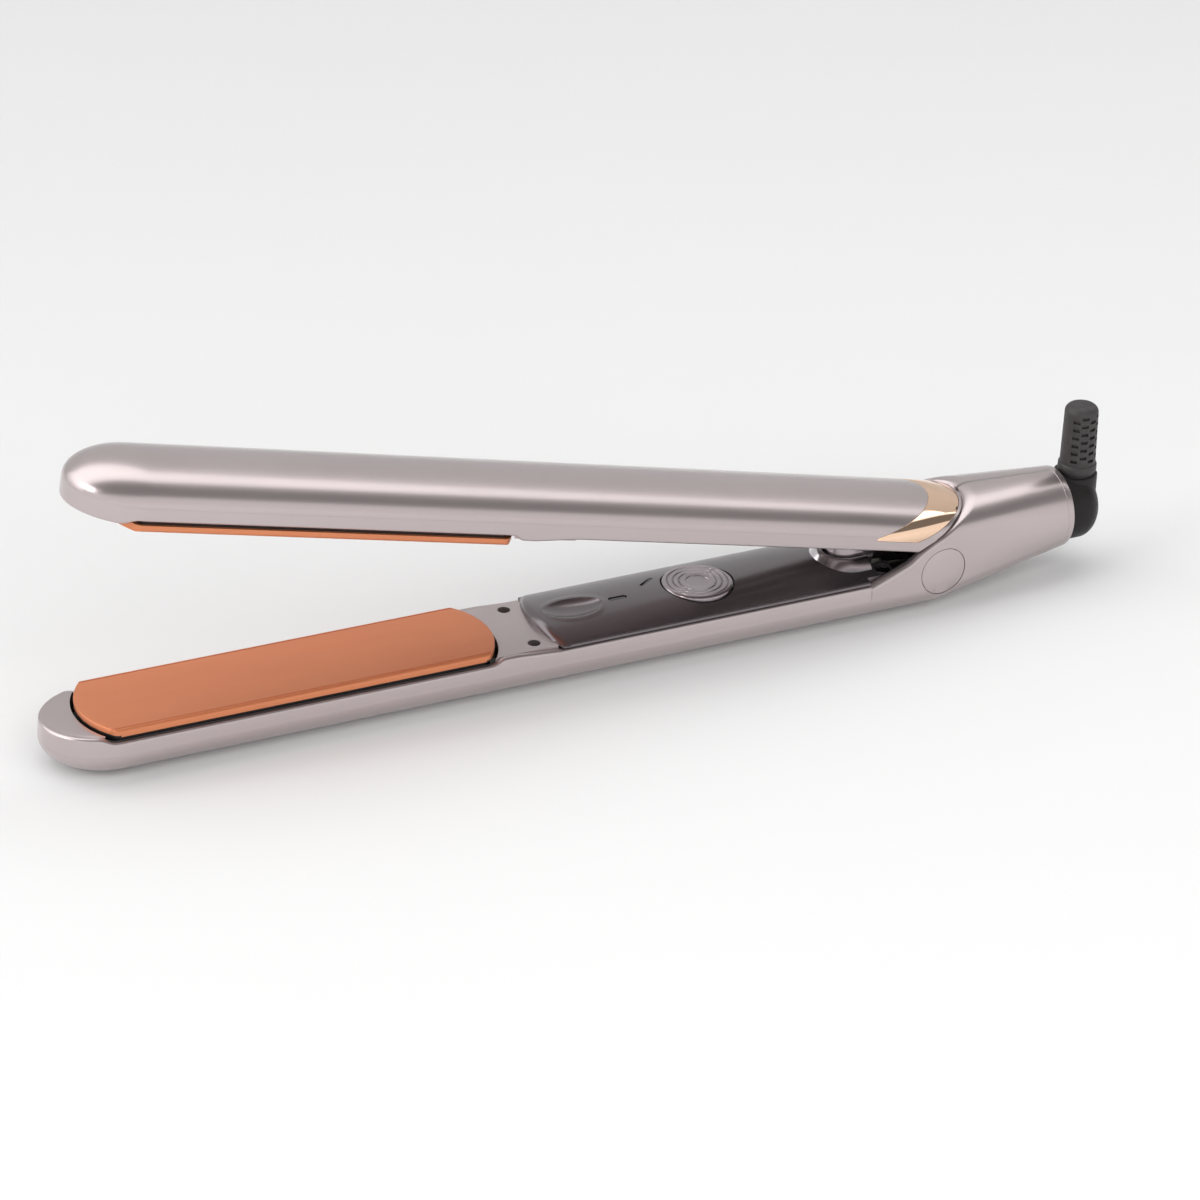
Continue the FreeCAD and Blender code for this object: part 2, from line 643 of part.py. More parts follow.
def power_button():
    """Round push button with ridged rings, a retaining rim and a stem."""
    shape = upright(d.button_radius, BUTTON_FOOT, d.button_top, d.button_x, 0)
    shape = shape.fuse(upright(d.button_radius + 1.2, BUTTON_FOOT, BUTTON_FOOT + 0.7,
                               d.button_x, 0))
    shape = shape.fuse(upright(2.2, BUTTON_STEM, BUTTON_FOOT, d.button_x, 0))
    for ring in (4.2, 5.6, 7.0):
        groove = upright(ring + 0.5, d.button_top - 0.35, 5, d.button_x, 0)
        shape = shape.cut(groove.cut(upright(ring, -8, 8, d.button_x, 0)))
    return shape.cut(upright(3.0, d.button_top - 0.25, 5, d.button_x, 0))


def lamp_window(x, y, length, width, angle, foot):
    """A light pipe that is flush with the panel."""
    return pill(x, y, length, width, foot, 3, angle).common(panel_form(0.05))


node("power_button", ready("power_button", power_button()), LOWER)
node("lamp_lens", ready("lamp_lens", lamp_window(d.lamp_x, 0, d.lamp_length, d.lamp_width, 0,
                                                 -4.4)), LOWER)
node("status_lens", ready("status_lens",
                          lamp_window(STATUS_X, STATUS_Y, STATUS_LENGTH - 0.1,
                                      STATUS_WIDTH - 0.1, STATUS_ANGLE, -4.4)), LOWER)

board = box("board_blank", (str(BOARD_LENGTH), str(2 * BOARD_HALF_WIDTH), str(BOARD_THICK)),
            (BOARD_FRONT, -BOARD_HALF_WIDTH, BOARD_TOP - BOARD_THICK))
node("circuit_board", board, LOWER)
switch = fuse("push_switch",
              box("switch_body", ("6", "6", str(SWITCH_BODY_TOP - BOARD_TOP)),
                  (d.button_x - 3, -3, BOARD_TOP)),
              rod("switch_plunger", "1.7", str(PLUNGER_TOP - SWITCH_BODY_TOP + 0.5),
                  (d.button_x, 0, SWITCH_BODY_TOP - 0.5)))
node("push_switch", switch, LOWER)
lamps = [rod("lamp_led", "1.5", "3.2", (d.lamp_x, 0, BOARD_TOP)),
         rod("status_led", "1.5", "3.2", (STATUS_X, STATUS_Y, BOARD_TOP))]
node("indicator_leds", group("indicator_leds", *lamps), LOWER)
node("triac", box("triac", ("4.5", "10", "4"), (172, -5, BOARD_TOP)), LOWER)
node("capacitor", rod("capacitor", "2.4", "9", (179, 0, BOARD_TOP + 2.5), X_AXIS), LOWER)
node("board_controller", box("board_controller", ("6.6", "6.6", "1.2"), (133.7, -3.3, BOARD_TOP)),
     LOWER)
node("thermal_fuse", rod("thermal_fuse", "1.5", "9", (112, 0, -7.6), X_AXIS), LOWER)

# ---- upper arm mouldings ---------------------------------------------------------------------

UPPER_REAR = 236.0
NOTCH_HALF_WIDTH = 9.0
NOTCH_TOP = 8.0
REAR_WALL = 2.5
BRIDGE_LOW, BRIDGE_HIGH = 8.2, 9.8
BRACKET_SCREW_X = 207.0
BRACKET_SCREW_Y = 3.8


def rear_wall(solid_form):
    """The slanted wall that closes the rear of the upper arm, open round the hinge bracket."""
    wall = solid_form.common(behind_end(-REAR_WALL))
    return wall.cut(Part.makeBox(60, 2 * NOTCH_HALF_WIDTH, NOTCH_TOP + 10,
                                 Vector(190, -NOTCH_HALF_WIDTH, -10)))


def trim_region():
    """Where the metal trim wraps the rear of the upper arm."""
    return side_prism(TRIM_OUTLINE, 40)


def upper_form(inset):
    back, band = arm_form(inset, UPPER_REAR)
    return back.fuse(band)


def upper_shell():
    shape = shell_back(UPPER_REAR)
    solid_back, _ = arm_form(0, UPPER_REAR)
    shape = shape.fuse(rear_wall(solid_back))
    for y in both_sides(BRACKET_SCREW_Y):
        post = upright(2.0, BRIDGE_HIGH, 12.4, BRACKET_SCREW_X, y)
        shape = shape.fuse(post).cut(upright(SCREW_BORE, 5, 12.0, BRACKET_SCREW_X, y))
    shape = shape.cut(behind_end())
    recess = trim_region().cut(upper_form(d.trim_thick + d.seam_gap))
    return shape.cut(recess)


def upper_cover():
    decks = [(-10, d.plate_start + d.plate_bow, d.flat_drop),
             (d.plate_start + d.plate_length - d.plate_bow, d.panel_front + 2, d.flat_drop),
             (d.panel_front - 1, 206.0, d.rear_drop)]
    shape = inner_cover(UPPER_REAR, decks)
    _, solid_band = arm_form(0, UPPER_REAR)
    wall = rear_wall(solid_band.common(slab(d.rear_drop, d.crease_depth - d.seam_gap)))
    shape = shape.fuse(wall).cut(behind_end())
    shape = shape.cut(trim_region().cut(upper_form(d.trim_thick + d.seam_gap)))
    shape = shape.cut(Part.makeBox(20, 2 * NOTCH_HALF_WIDTH, 5, Vector(203.5, -NOTCH_HALF_WIDTH, 1)))
    shape = shape.cut(below_shoulder())
    return shape.cut(stadium(d.slot_x, d.panel_rear, d.tongue_radius + 0.1, -1, 6))


def upper_trim():
    return trim_region().common(upper_form(0)).cut(upper_form(d.trim_thick))


def tongue_drum(inset):
    """Round of the tongue: a drum about the hinge axis with a half round rim."""
    rim_radius = d.tongue_radius - inset
    drum_radius = d.hinge_x - d.slot_x
    rim = Part.makeTorus(drum_radius, rim_radius, HINGE, Y_AXIS)
    drum = Part.makeCylinder(drum_radius, 2 * rim_radius, HINGE - Y_AXIS * rim_radius, Y_AXIS)
    return drum.fuse(rim)


def hinge_tongue():
    """Curved cover that follows the upper arm down into the slot of the control panel."""
    reach = Part.makeBox(12.0, 20, 14.5, Vector(d.slot_x - 7, -10, -8.5))
    return tongue_drum(0).cut(tongue_drum(1.3)).common(reach)


KNUCKLE_IN, KNUCKLE_OUT = 5.6, 8.4
KNUCKLE_RADIUS = 4.6
BUSH_RADIUS = 3.2


def hinge_bracket():
    """Forked bracket: two knuckles round the pin, joined by a bridge inside the arm."""
    width = KNUCKLE_OUT - KNUCKLE_IN
    outline = [(205.0, 4.3), (210.0, 4.3), (219.2, -5.4), (226.0, 0.6), (218.6, 7.4),
               (214.0, 9.6), (205.0, 9.6)]
    shape = Part.makeBox(9.0, 2 * KNUCKLE_OUT, BRIDGE_HIGH - BRIDGE_LOW,
                         Vector(204.0, -KNUCKLE_OUT, BRIDGE_LOW))
    for y in (KNUCKLE_IN, -KNUCKLE_OUT):
        side_plate = side_prism(outline, width / 2)
        side_plate.translate(Vector(0, y + width / 2, 0))
        barrel = Part.makeCylinder(KNUCKLE_RADIUS, width, Vector(d.hinge_x, y, d.hinge_z), Y_AXIS)
        shape = shape.fuse(side_plate).fuse(barrel)
    bore = Part.makeCylinder(BUSH_RADIUS, 40, Vector(d.hinge_x, -20, d.hinge_z), Y_AXIS)
    shape = shape.cut(bore)
    for y in both_sides(BRACKET_SCREW_Y):
        shape = shape.cut(upright(SCREW_BORE, 5, 12, BRACKET_SCREW_X, y))
    return shape.common(upper_form(d.wall + 0.1).fuse(slab(-20, 5)))


node("upper_shell", ready("upper_shell", upper_shell()), UPPER)
node("upper_inner_cover", ready("upper_inner_cover", upper_cover()), UPPER)
node("upper_trim", ready("upper_trim", upper_trim()), UPPER)
node("hinge_tongue", ready("hinge_tongue", hinge_tongue()), UPPER)
node("hinge_bracket", ready("hinge_bracket", hinge_bracket()), UPPER)
bracket_screws = []
for y in both_sides(BRACKET_SCREW_Y):
    head = upright(1.7, BRIDGE_LOW - 1.0, BRIDGE_LOW, BRACKET_SCREW_X, y)
    bracket_screws.append(head.fuse(upright(SCREW_BORE, BRIDGE_LOW, 11.6, BRACKET_SCREW_X, y)))
node("bracket_screws", ready("bracket_screws", Part.makeCompound(bracket_screws)), UPPER)
node("upper_thermal_fuse", rod("upper_thermal_fuse", "1.5", "9", (124, 0, 7.6), X_AXIS), UPPER)

# ---- hinge ------------------------------------------------------------------------------------

for bush_name, y in (("hinge_bush_near", -KNUCKLE_OUT), ("hinge_bush_far", KNUCKLE_IN)):
    bush = cut(bush_name,
               rod(bush_name + "_outside", str(BUSH_RADIUS), str(KNUCKLE_OUT - KNUCKLE_IN),
                   (d.hinge_x, y, d.hinge_z), Y_AXIS),
               rod(bush_name + "_bore", "D.pin_radius + D.pin_clearance", "20",
                   (d.hinge_x, y - 5, d.hinge_z), Y_AXIS))
    node(bush_name, bush, UPPER)

node("hinge_pin", rod("hinge_pin", "D.pin_radius", "23.0", (d.hinge_x, -11.5, d.hinge_z), Y_AXIS),
     LOWER)

for cap_name, y in (("hinge_cap_near", -CAP_SEAT - 3), ("hinge_cap_far", CAP_SEAT)):
    blank = Part.makeCylinder(d.cap_radius, 3, Vector(d.hinge_x, y, d.hinge_z), Y_AXIS)
    flush = blank.common(housing_form(0, d.housing_front, d.housing_end)).cut(above_shoulder())
    node(cap_name, ready(cap_name, flush), LOWER)


def torsion_spring():
    """A coil round the pin; one leg reaches forward in the lower arm, one in the upper arm."""
    wire_radius, coil_radius, pitch, leg = 0.6, 3.4, 1.3, 8.0
    turns = 4.5 - d.open_angle / 360
    helix = Part.makeHelix(pitch, pitch * turns, coil_radius).Edges[0]
    low_end = helix.valueAt(helix.FirstParameter)
    high_end = helix.valueAt(helix.LastParameter)
    low_way = helix.tangentAt(helix.FirstParameter)
    high_way = helix.tangentAt(helix.LastParameter)
    spine = Part.Wire([Part.makeLine(low_end - low_way * leg, low_end), helix,
                       Part.makeLine(high_end, high_end + high_way * leg)])
    section = Part.Wire(Part.makeCircle(wire_radius, low_end - low_way * leg, low_way))
    shape = spine.makePipeShell([section], True, True)
    shape.translate(Vector(0, 0, -pitch * turns / 2))
    shape.rotate(Vector(0, 0, 0), Z_AXIS, -90)
    shape.rotate(Vector(0, 0, 0), X_AXIS, 90)
    shape.translate(HINGE)
    return shape


node("hinge_spring", ready("hinge_spring", torsion_spring()), LOWER)

# ---- swivel -----------------------------------------------------------------------------------

COLLAR_FRONT = d.housing_end - d.collar_width


def round_x(radius, x_low, x_high):
    return Part.makeCylinder(radius, x_high - x_low, Vector(x_low, 0, d.swivel_z), X_AXIS)


collar = housing_form(0, COLLAR_FRONT + d.seam_gap, d.housing_end)
node("rear_collar", ready("rear_collar", collar.cut(round_x(d.neck_bore, 250, 270))), LOWER)

HUB_FRONT = d.housing_end + 0.4
HUB_ROUND = 265.3
RELIEF_ROUND = 1.7
RELIEF_TIP = 1.9


def swivel_hub():
    """Domed hub on a neck that turns in the collar; a passage leads to the bend relief."""
    back = Part.makeSphere(1.0)
    stretch = FreeCAD.Matrix()
    stretch.scale(d.total_length - HUB_ROUND, d.hub_radius, d.hub_radius)
    dome = back.transformGeometry(stretch)
    dome.translate(Vector(HUB_ROUND, 0, d.swivel_z))
    dome = dome.common(slab(-40, 40, HUB_ROUND, FAR))
    shape = round_x(d.hub_radius, HUB_FRONT, HUB_ROUND).fuse(dome)
    shape = shape.fuse(round_x(d.neck_radius, 252.0, HUB_FRONT))
    saddle = upright(d.sleeve_foot_radius + 0.9, d.swivel_z, 10.4, d.sleeve_x - 0.4, 0)
    shape = shape.fuse(saddle.common(slab(-40, 40, HUB_FRONT, d.total_length)))
    shape = shape.cut(round_x(d.cord_bore, 250, d.sleeve_x))
    shape = shape.cut(upright(d.sleeve_foot_radius + 0.02, d.sleeve_foot, 40, d.sleeve_x, 0))
    return shape.cut(upright(d.cord_bore, d.swivel_z, 40, d.sleeve_x, 0))


def strain_relief():
    """Tapered bend relief with staggered slots, hollow for the cord up to its closed tip."""
    height = d.sleeve_top - d.sleeve_foot
    foot = Vector(d.sleeve_x, 0, d.sleeve_foot)
    shape = Part.makeCone(d.sleeve_foot_radius, d.sleeve_tip_radius, height, foot)
    rim = [edge for edge in shape.Edges if abs(edge.BoundBox.ZMin - d.sleeve_top) < 0.01
           and edge.BoundBox.DiagonalLength > 1]
    shape = shape.makeFillet(RELIEF_ROUND, rim[:1])
    collar_band = upright(d.sleeve_foot_radius + 0.35, 10.9, 13.0, d.sleeve_x, 0)
    shape = shape.fuse(collar_band)
    for step in range(6):
        z = 14.2 + 2.1 * step
        for shift, y_side in ((0.0, -1), (1.05, -1), (0.0, 1), (1.05, 1)):
            x_low = d.sleeve_x - 2.7 if shift == 0.0 else d.sleeve_x + 0.2
            y_low = 3.55 if y_side > 0 else -3.55 - 2
            shape = shape.cut(Part.makeBox(2.5, 2, 0.8, Vector(x_low, y_low, z + shift)))
    return shape.cut(upright(d.cord_bore, 0, d.sleeve_top - RELIEF_TIP, d.sleeve_x, 0))


node("swivel_hub", ready("swivel_hub", swivel_hub()), LOWER)
node("strain_relief", ready("strain_relief", strain_relief()), LOWER)
clip = cut("swivel_clip",
           rod("clip_outside", "8", "1.4", (254.8, 0, d.swivel_z), X_AXIS),
           rod("clip_bore", "D.neck_radius", "10", (250, 0, d.swivel_z), X_AXIS))
node("swivel_clip", clip, LOWER)
contact = cut("slip_contact",
              rod("contact_outside", "8.2", "2", (248.6, 0, d.swivel_z), X_AXIS),
              rod("contact_bore", "D.cord_bore", "10", (245, 0, d.swivel_z), X_AXIS))
node("slip_contact", contact, LOWER)

# ---- leads -------------------------------------------------------------------------------------


def bent_tube(points, radius, bend):
    """A tube along straight runs joined by tangent arcs."""
    points = [Vector(*point) for point in points]
    edges, start = [], points[0]
    for before, corner, after in zip(points, points[1:], points[2:]):
        into = (corner - before).normalize()
        out = (after - corner).normalize()
        turn = math.acos(max(-1.0, min(1.0, into.dot(out))))
        reach = bend * math.tan(turn / 2)
        middle = corner + (out - into).normalize() * (bend / math.cos(turn / 2) - bend)
        edges.append(Part.makeLine(start, corner - into * reach))
        edges.append(Part.Arc(corner - into * reach, middle, corner + out * reach).toShape())
        start = corner + out * reach
    edges.append(Part.makeLine(start, points[-1]))
    heading = points[1] - points[0]
    section = Part.Wire(Part.makeCircle(radius, points[0], heading))
    return Part.Wire(edges).makePipeShell([section], True, False)


supply = [bent_tube([(247.9, side * 4.6, 0.5), (240, side * 5.0, -3.5), (228, side * 6.4, -8.0),
                     (198, side * 6.6, -7.4), (188, side * 5.0, -6.4)],
                    0.9, 5.0) for side in (-1, 1)]
node("supply_leads", ready("supply_leads", Part.makeCompound(supply)), LOWER)
lower_leads = [bent_tube([(98, side * 3.5, -7.4), (124, side * 3.5, -7.4),
                          (131.5, side * 5.6, -6.9)], 0.7, 4.0) for side in (-1, 1)]
node("lower_heater_leads", ready("lower_heater_leads", Part.makeCompound(lower_leads)), LOWER)
upper_leads = [rod(f"upper_lead_{side}", "0.7", "90", (98, side * 3.5, 7.6), X_AXIS)
               for side in (-1, 1)]
node("upper_heater_leads", group("upper_heater_leads", *upper_leads), UPPER)

# ---- checks and export ---------------------------------------------------------------------------

doc.recompute()
faults = []
for item in doc.Objects:
    if {"Invalid", "Error"} & set(item.State):
        faults.append(f"{item.Name}: {item.State}")
for name, piece in nodes.items():
    if piece.Shape.isNull() or not piece.Shape.isValid() or not piece.Shape.Solids:
        faults.append(f"{name}: shape is missing or not valid")
if faults:
    sys.exit("\n".join(faults))

os.makedirs("parts", exist_ok=True)
for name, piece in sorted(nodes.items()):
    solids = piece.Shape.Solids
    limits = piece.Shape.BoundBox
    print(f"{name:22s} solids {len(solids)} volume {piece.Shape.Volume:9.1f}"
          f"  x {limits.XMin:7.2f} {limits.XMax:7.2f}  z {limits.ZMin:6.2f} {limits.ZMax:6.2f}")
    piece.Shape.exportStep(f"parts/{name}.step")
print(len(nodes), "nodes")
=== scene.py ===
"""Looks of a hair flat iron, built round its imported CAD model.

Pieces are drawn in millimetres in the closed iron's own axes (u from the tip along the arm,
y across it, depth away from the plane in which the plates meet) and then set on the lower or
the upper arm by that arm's matrix.
"""

import json
from math import asin, atan2, cos, exp, hypot, pi, radians, sin, sqrt

import bmesh
import bpy
from mathutils import Matrix, Vector


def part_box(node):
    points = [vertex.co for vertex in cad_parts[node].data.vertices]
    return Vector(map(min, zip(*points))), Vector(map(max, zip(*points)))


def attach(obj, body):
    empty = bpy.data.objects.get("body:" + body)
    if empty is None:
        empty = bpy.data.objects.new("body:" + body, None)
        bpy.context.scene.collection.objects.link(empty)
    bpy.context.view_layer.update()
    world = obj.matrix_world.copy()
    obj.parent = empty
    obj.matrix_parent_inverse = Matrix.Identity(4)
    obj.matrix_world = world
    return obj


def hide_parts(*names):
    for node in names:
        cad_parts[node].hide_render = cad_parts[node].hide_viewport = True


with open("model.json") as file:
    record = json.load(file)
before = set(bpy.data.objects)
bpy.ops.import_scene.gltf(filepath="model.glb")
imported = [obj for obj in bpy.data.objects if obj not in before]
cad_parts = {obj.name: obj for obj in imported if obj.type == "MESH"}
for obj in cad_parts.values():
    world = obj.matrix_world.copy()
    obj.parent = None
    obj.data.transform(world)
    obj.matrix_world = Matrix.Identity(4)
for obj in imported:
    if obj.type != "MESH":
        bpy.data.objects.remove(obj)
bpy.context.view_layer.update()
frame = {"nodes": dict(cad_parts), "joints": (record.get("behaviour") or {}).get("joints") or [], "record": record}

# ---- places, taken from the frame ----

MM = 0.001
joints = {joint["name"]: joint for joint in frame["joints"]}
TIP_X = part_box("lower_inner_cover")[0].x
MATE_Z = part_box("lower_plate")[1].z
hinge = Vector(joints["arm_hinge"]["pos_m"])
lift = joints["upper_plate_float"]["axis"]
OPEN = atan2(lift[0], lift[2])
LOWER = Matrix.Translation((TIP_X, 0, MATE_Z)) @ Matrix.Scale(MM, 4)
TURN = Matrix.Translation(hinge) @ Matrix.Rotation(OPEN, 4, "Y") @ Matrix.Translation(-hinge)
UPPER = TURN @ LOWER
HINGE_U, HINGE_Z = (hinge.x - TIP_X) / MM, (hinge.z - MATE_Z) / MM

# ---- sizes of the form, in millimetres ----

HALF = 13.5
CREASE = 6.2
RISE = 7.63
NOSE = 16.0
WALL = 1.8
BASE = 13.5
SEAM = 0.02
FLAT_DROP, SIDE_DROP, REAR_DROP = 1.6, 2.8, 2.4
DRAFT = 0.25
PLATE_START, PLATE_LENGTH, PLATE_HALF, PLATE_BOW, PLATE_GAP = 9.0, 100.0, 12.5, 5.0, 0.6
PLATE_END = PLATE_START + PLATE_LENGTH
PANEL_FRONT, PANEL_REAR, PANEL_HALF = 119.8, 210.2, 13.1
CROWN, EDGE_DROP = 0.7, 1.4
HOUSING_FRONT, TAPER_START, HOUSING_END, COLLAR = 203.0, 222.0, 260.5, 1.8
SWIVEL_Z, END_RADIUS = 1.95, 9.95
SLOT_U, SLOT_RADIUS, TONGUE_RADIUS = 202.0, 5.5, 5.0

# Side outlines as (u, depth): rear end of the upper arm, both edges of its trim, and (u, z) of
# the housing's shoulder, which follows the open upper arm.
ARM_END = [(206.9, -3.4), (222.4, 10.1), (232.3, 16.1)]
TRIM_BOTTOM = 5.2
TRIM_FRONT = [(201.0, 5.2), (201.3, 5.93), (233.1, 20.0)]
TRIM_REAR = [(212.9, 5.2), (238.1, 20.0)]
SHOULDER = [(200.0, -3.66), (213.6, 2.05), (216.3, 4.35), (225.2, 9.35), (232.6, 11.7),
            (240.0, 14.0)]


def along(line, value, known=1):
    """Point on an outline: its u at a depth, or its height at a u where known is 0."""
    sought = 1 - known
    for low, high in zip(line, line[1:]):
        if value <= high[known] or high is line[-1]:
            share = (value - low[known]) / (high[known] - low[known])
            return low[sought] + share * (high[sought] - low[sought])


def end_line(depth):
    """Rear end of the upper arm."""
    return along(ARM_END, depth)


def trim_rear(depth):
    return along(TRIM_REAR, depth)


def trim_front(depth):
    return along(TRIM_FRONT, depth)


# ---- mesh tools ----

materials = {}


def add_object(name, data):
    added = bpy.data.objects.new(name, data)
    bpy.context.scene.collection.objects.link(added)
    return added


def make_object(name, points, faces):
    mesh = bpy.data.meshes.new(name)
    mesh.from_pydata([tuple(point) for point in points], [], faces)
    return add_object(name, mesh)


def clean(piece, merge=0.000002):
    """Welds, drops slivers and turns every face outwards."""
    work = bmesh.new()
    work.from_mesh(piece.data)
    bmesh.ops.remove_doubles(work, verts=work.verts, dist=merge)
    bmesh.ops.dissolve_degenerate(work, edges=work.edges, dist=merge)
    bmesh.ops.recalc_face_normals(work, faces=work.faces)
    work.to_mesh(piece.data)
    work.free()


def ring_stack(rings, closed=False):
    """Quads between rings of equal length; the ends are capped unless the stack is closed."""
    count = len(rings[0])
    points = [point for ring in rings for point in ring]
    faces = []
    spans = len(rings) if closed else len(rings) - 1
    for row in range(spans):
        low, high = row * count, ((row + 1) % len(rings)) * count
        for step in range(count):
            after = (step + 1) % count
            faces.append((low + step, low + after, high + after, high + step))
    if not closed:
        faces.append(tuple(range(count))[::-1])
        faces.append(tuple(range(len(points) - count, len(points))))
    return points, faces


def piece_from(name, rings, arm, sign=1, closed=False):
    """Rings hold (u, y, depth); sign is -1 on the lower arm, where depth runs down."""
    points, faces = ring_stack(rings, closed)
    placed = [arm @ Vector((u, y, sign * depth)) for u, y, depth in points]
    piece = make_object(name, placed, faces)
    clean(piece)
    return piece


def join(name, pieces):
    """One object from several; the first one's name is given up."""
    work = bmesh.new()
    for piece in pieces:
        work.from_mesh(piece.data)
    mesh = bpy.data.meshes.new(name)
    work.to_mesh(mesh)
    work.free()
    for piece in pieces:
        bpy.data.objects.remove(piece)
    return add_object(name, mesh)


def carve(piece, cutters, operation="DIFFERENCE"):
    """Cuts each cutter out of the piece and removes it."""
    for cutter in cutters:
        modifier = piece.modifiers.new("carve", "BOOLEAN")
        modifier.operation = operation
        modifier.solver = "EXACT"
        modifier.object = cutter
        shape = bpy.data.meshes.new_from_object(
            piece.evaluated_get(bpy.context.evaluated_depsgraph_get()))
        piece.modifiers.clear()
        piece.data = shape
        bpy.data.objects.remove(cutter)


def finish_piece(piece, body, nodes, material, sharp=32.0):
    """Shading, material, body and what the piece stands for."""
    for face in piece.data.polygons:
        face.use_smooth = True
    piece.data.set_sharp_from_angle(angle=radians(sharp))
    piece.data.materials.clear()
    piece.data.materials.append(materials[material])
    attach(piece, body)
    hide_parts(*nodes)
    return piece


def round_bar(name, radius, start, end, arm, steps=96):
    """A plain round bar used for cutting, between two points in the arm's axes."""
    start, end = Vector(start), Vector(end)
    turn = (end - start).to_track_quat("Z", "Y")
    rings = []
    for place in (start, end):
        rings.append([place + turn @ Vector((radius * cos(2 * pi * k / steps),
                                             radius * sin(2 * pi * k / steps), 0))
                      for k in range(steps)])
    return piece_from(name, rings, arm)


def block(name, low, high, arm):
    (x0, y0, z0), (x1, y1, z1) = low, high
    rings = [[(x0, y0, z), (x1, y0, z), (x1, y1, z), (x0, y1, z)] for z in (z0, z1)]
    return piece_from(name, rings, arm)


def pill_loop(u, y, length, width, angle, grow=0.0, steps=16):
    """Outline of a slot with round ends."""
    reach, radius = (length - width) / 2, width / 2 + grow
    loop = []
    for half_turn in (0.0, pi):
        for k in range(steps + 1):
            turn = pi * (k / steps - 0.5) + half_turn
            loop.append(Vector((cos(half_turn) * reach + radius * cos(turn),
                                radius * sin(turn))))
    spin = Matrix.Rotation(angle, 2)
    return [spin @ point + Vector((u, y)) for point in loop]


def upright(name, loop, low, high, arm):
    """A straight prism over an outline."""
    return piece_from(name, [[(p.x, p.y, z) for p in loop] for z in (low, high)], arm)


def lathe(name, profile, arm, centre, axis, steps):
    """A closed profile of (radius, reach) turned round the axis Z or X through the centre."""
    rings = []
    for k in range(steps):
        turn = 2 * pi * k / steps
        ring = []
        for radius, reach in profile:
            a, b = radius * cos(turn), radius * sin(turn)
            offset = (a, b, reach) if axis == "Z" else (reach, a, b)
            ring.append(tuple(c + o for c, o in zip(centre, offset)))
        rings.append(ring)
    return piece_from(name, rings, arm, closed=True)


def rounded(corner_in, corner, corner_out, radius, steps=5):
    """Points of a round corner in a profile."""
    corner = Vector(corner)
    into = (Vector(corner_in) - corner).normalized() * radius
    out = (Vector(corner_out) - corner).normalized() * radius
    return [tuple(corner + into * (1 - t) ** 2 + out * t ** 2)
            for t in (k / steps for k in range(steps + 1))]


def soft_profile(corners, radii, steps=5):
    """A closed profile whose corners are rounded by their own radii."""
    profile = []
    for k, corner in enumerate(corners):
        before, after = corners[k - 1], corners[(k + 1) % len(corners)]
        if radii[k] == 0:
            profile.append(corner)
        else:
            profile += rounded(before, corner, after, radii[k], steps)
    return profile


def quarter_round(radius, steps):
    """A quarter circle from a wall up to a flat, as (distance in from the wall, drop)."""
    turns = [pi / 2 * k / steps for k in range(steps + 1)]
    return [(radius * (1 - cos(turn)), radius * (1 - sin(turn))) for turn in turns]


# ---- materials ----

def put(node, **values):
    """Sets inputs of a node; an underscore stands for a space in their names."""
    for name, value in values.items():
        node.inputs[name.replace("_", " ")].default_value = value


def new_material(name, base, metallic, roughness, coat=0.0, coat_roughness=0.08):
    material = bpy.data.materials.new(name)
    material.use_nodes = True
    shader = material.node_tree.nodes["Principled BSDF"]
    put(shader, Base_Color=(*base, 1), Metallic=metallic, Roughness=roughness, Coat_Weight=coat,
        Coat_Roughness=coat_roughness)
    materials[name] = material
    return material.node_tree, shader


def noise(tree, scale, detail, stretch):
    """Noise in the object's own space, in features per metre, drawn out along an axis."""
    nodes, links = tree.nodes, tree.links
    place = nodes.new("ShaderNodeTexCoord")
    mapping = nodes.new("ShaderNodeMapping")
    put(mapping, Scale=stretch)
    texture = nodes.new("ShaderNodeTexNoise")
    put(texture, Scale=scale, Detail=detail)
    links.new(place.outputs["Object"], mapping.inputs["Vector"])
    links.new(mapping.outputs["Vector"], texture.inputs["Vector"])
    return texture.outputs["Fac"]


def ramp(tree, value, low, high):
    """Value mapped to the range low to high."""
    node = tree.nodes.new("ShaderNodeMapRange")
    put(node, To_Min=low, To_Max=high, From_Min=0.3, From_Max=0.7)
    tree.links.new(value, node.inputs["Value"])
    return node.outputs["Result"]


def tint(tree, value, dark, light):
    node = tree.nodes.new("ShaderNodeValToRGB")
    for stop, place, colour in zip(node.color_ramp.elements, (0.3, 0.7), (dark, light)):
        stop.position = place
        stop.color = (*colour, 1)
    tree.links.new(value, node.inputs["Fac"])
    return node.outputs["Color"]


def bump(tree, value, shader, depth):
    node = tree.nodes.new("ShaderNodeBump")
    put(node, Distance=depth)
    tree.links.new(value, node.inputs["Height"])
    tree.links.new(node.outputs["Normal"], shader.inputs["Normal"])


def worn(tree, shader, dark, light, scale, stretch, rough, grain=0.0, grain_scale=5200.0):
    """Colour and roughness that vary over the surface, with an optional fine grain."""
    broad = noise(tree, scale, 4.0, stretch)
    tree.links.new(tint(tree, broad, dark, light), shader.inputs["Base Color"])
    spread = noise(tree, scale * 2.7, 5.0, stretch)
    tree.links.new(ramp(tree, spread, *rough), shader.inputs["Roughness"])
    if grain:
        bump(tree, noise(tree, grain_scale, 2.0, stretch), shader, grain)


EVEN, ALONG = (1, 1, 1), (0.25, 1, 1)


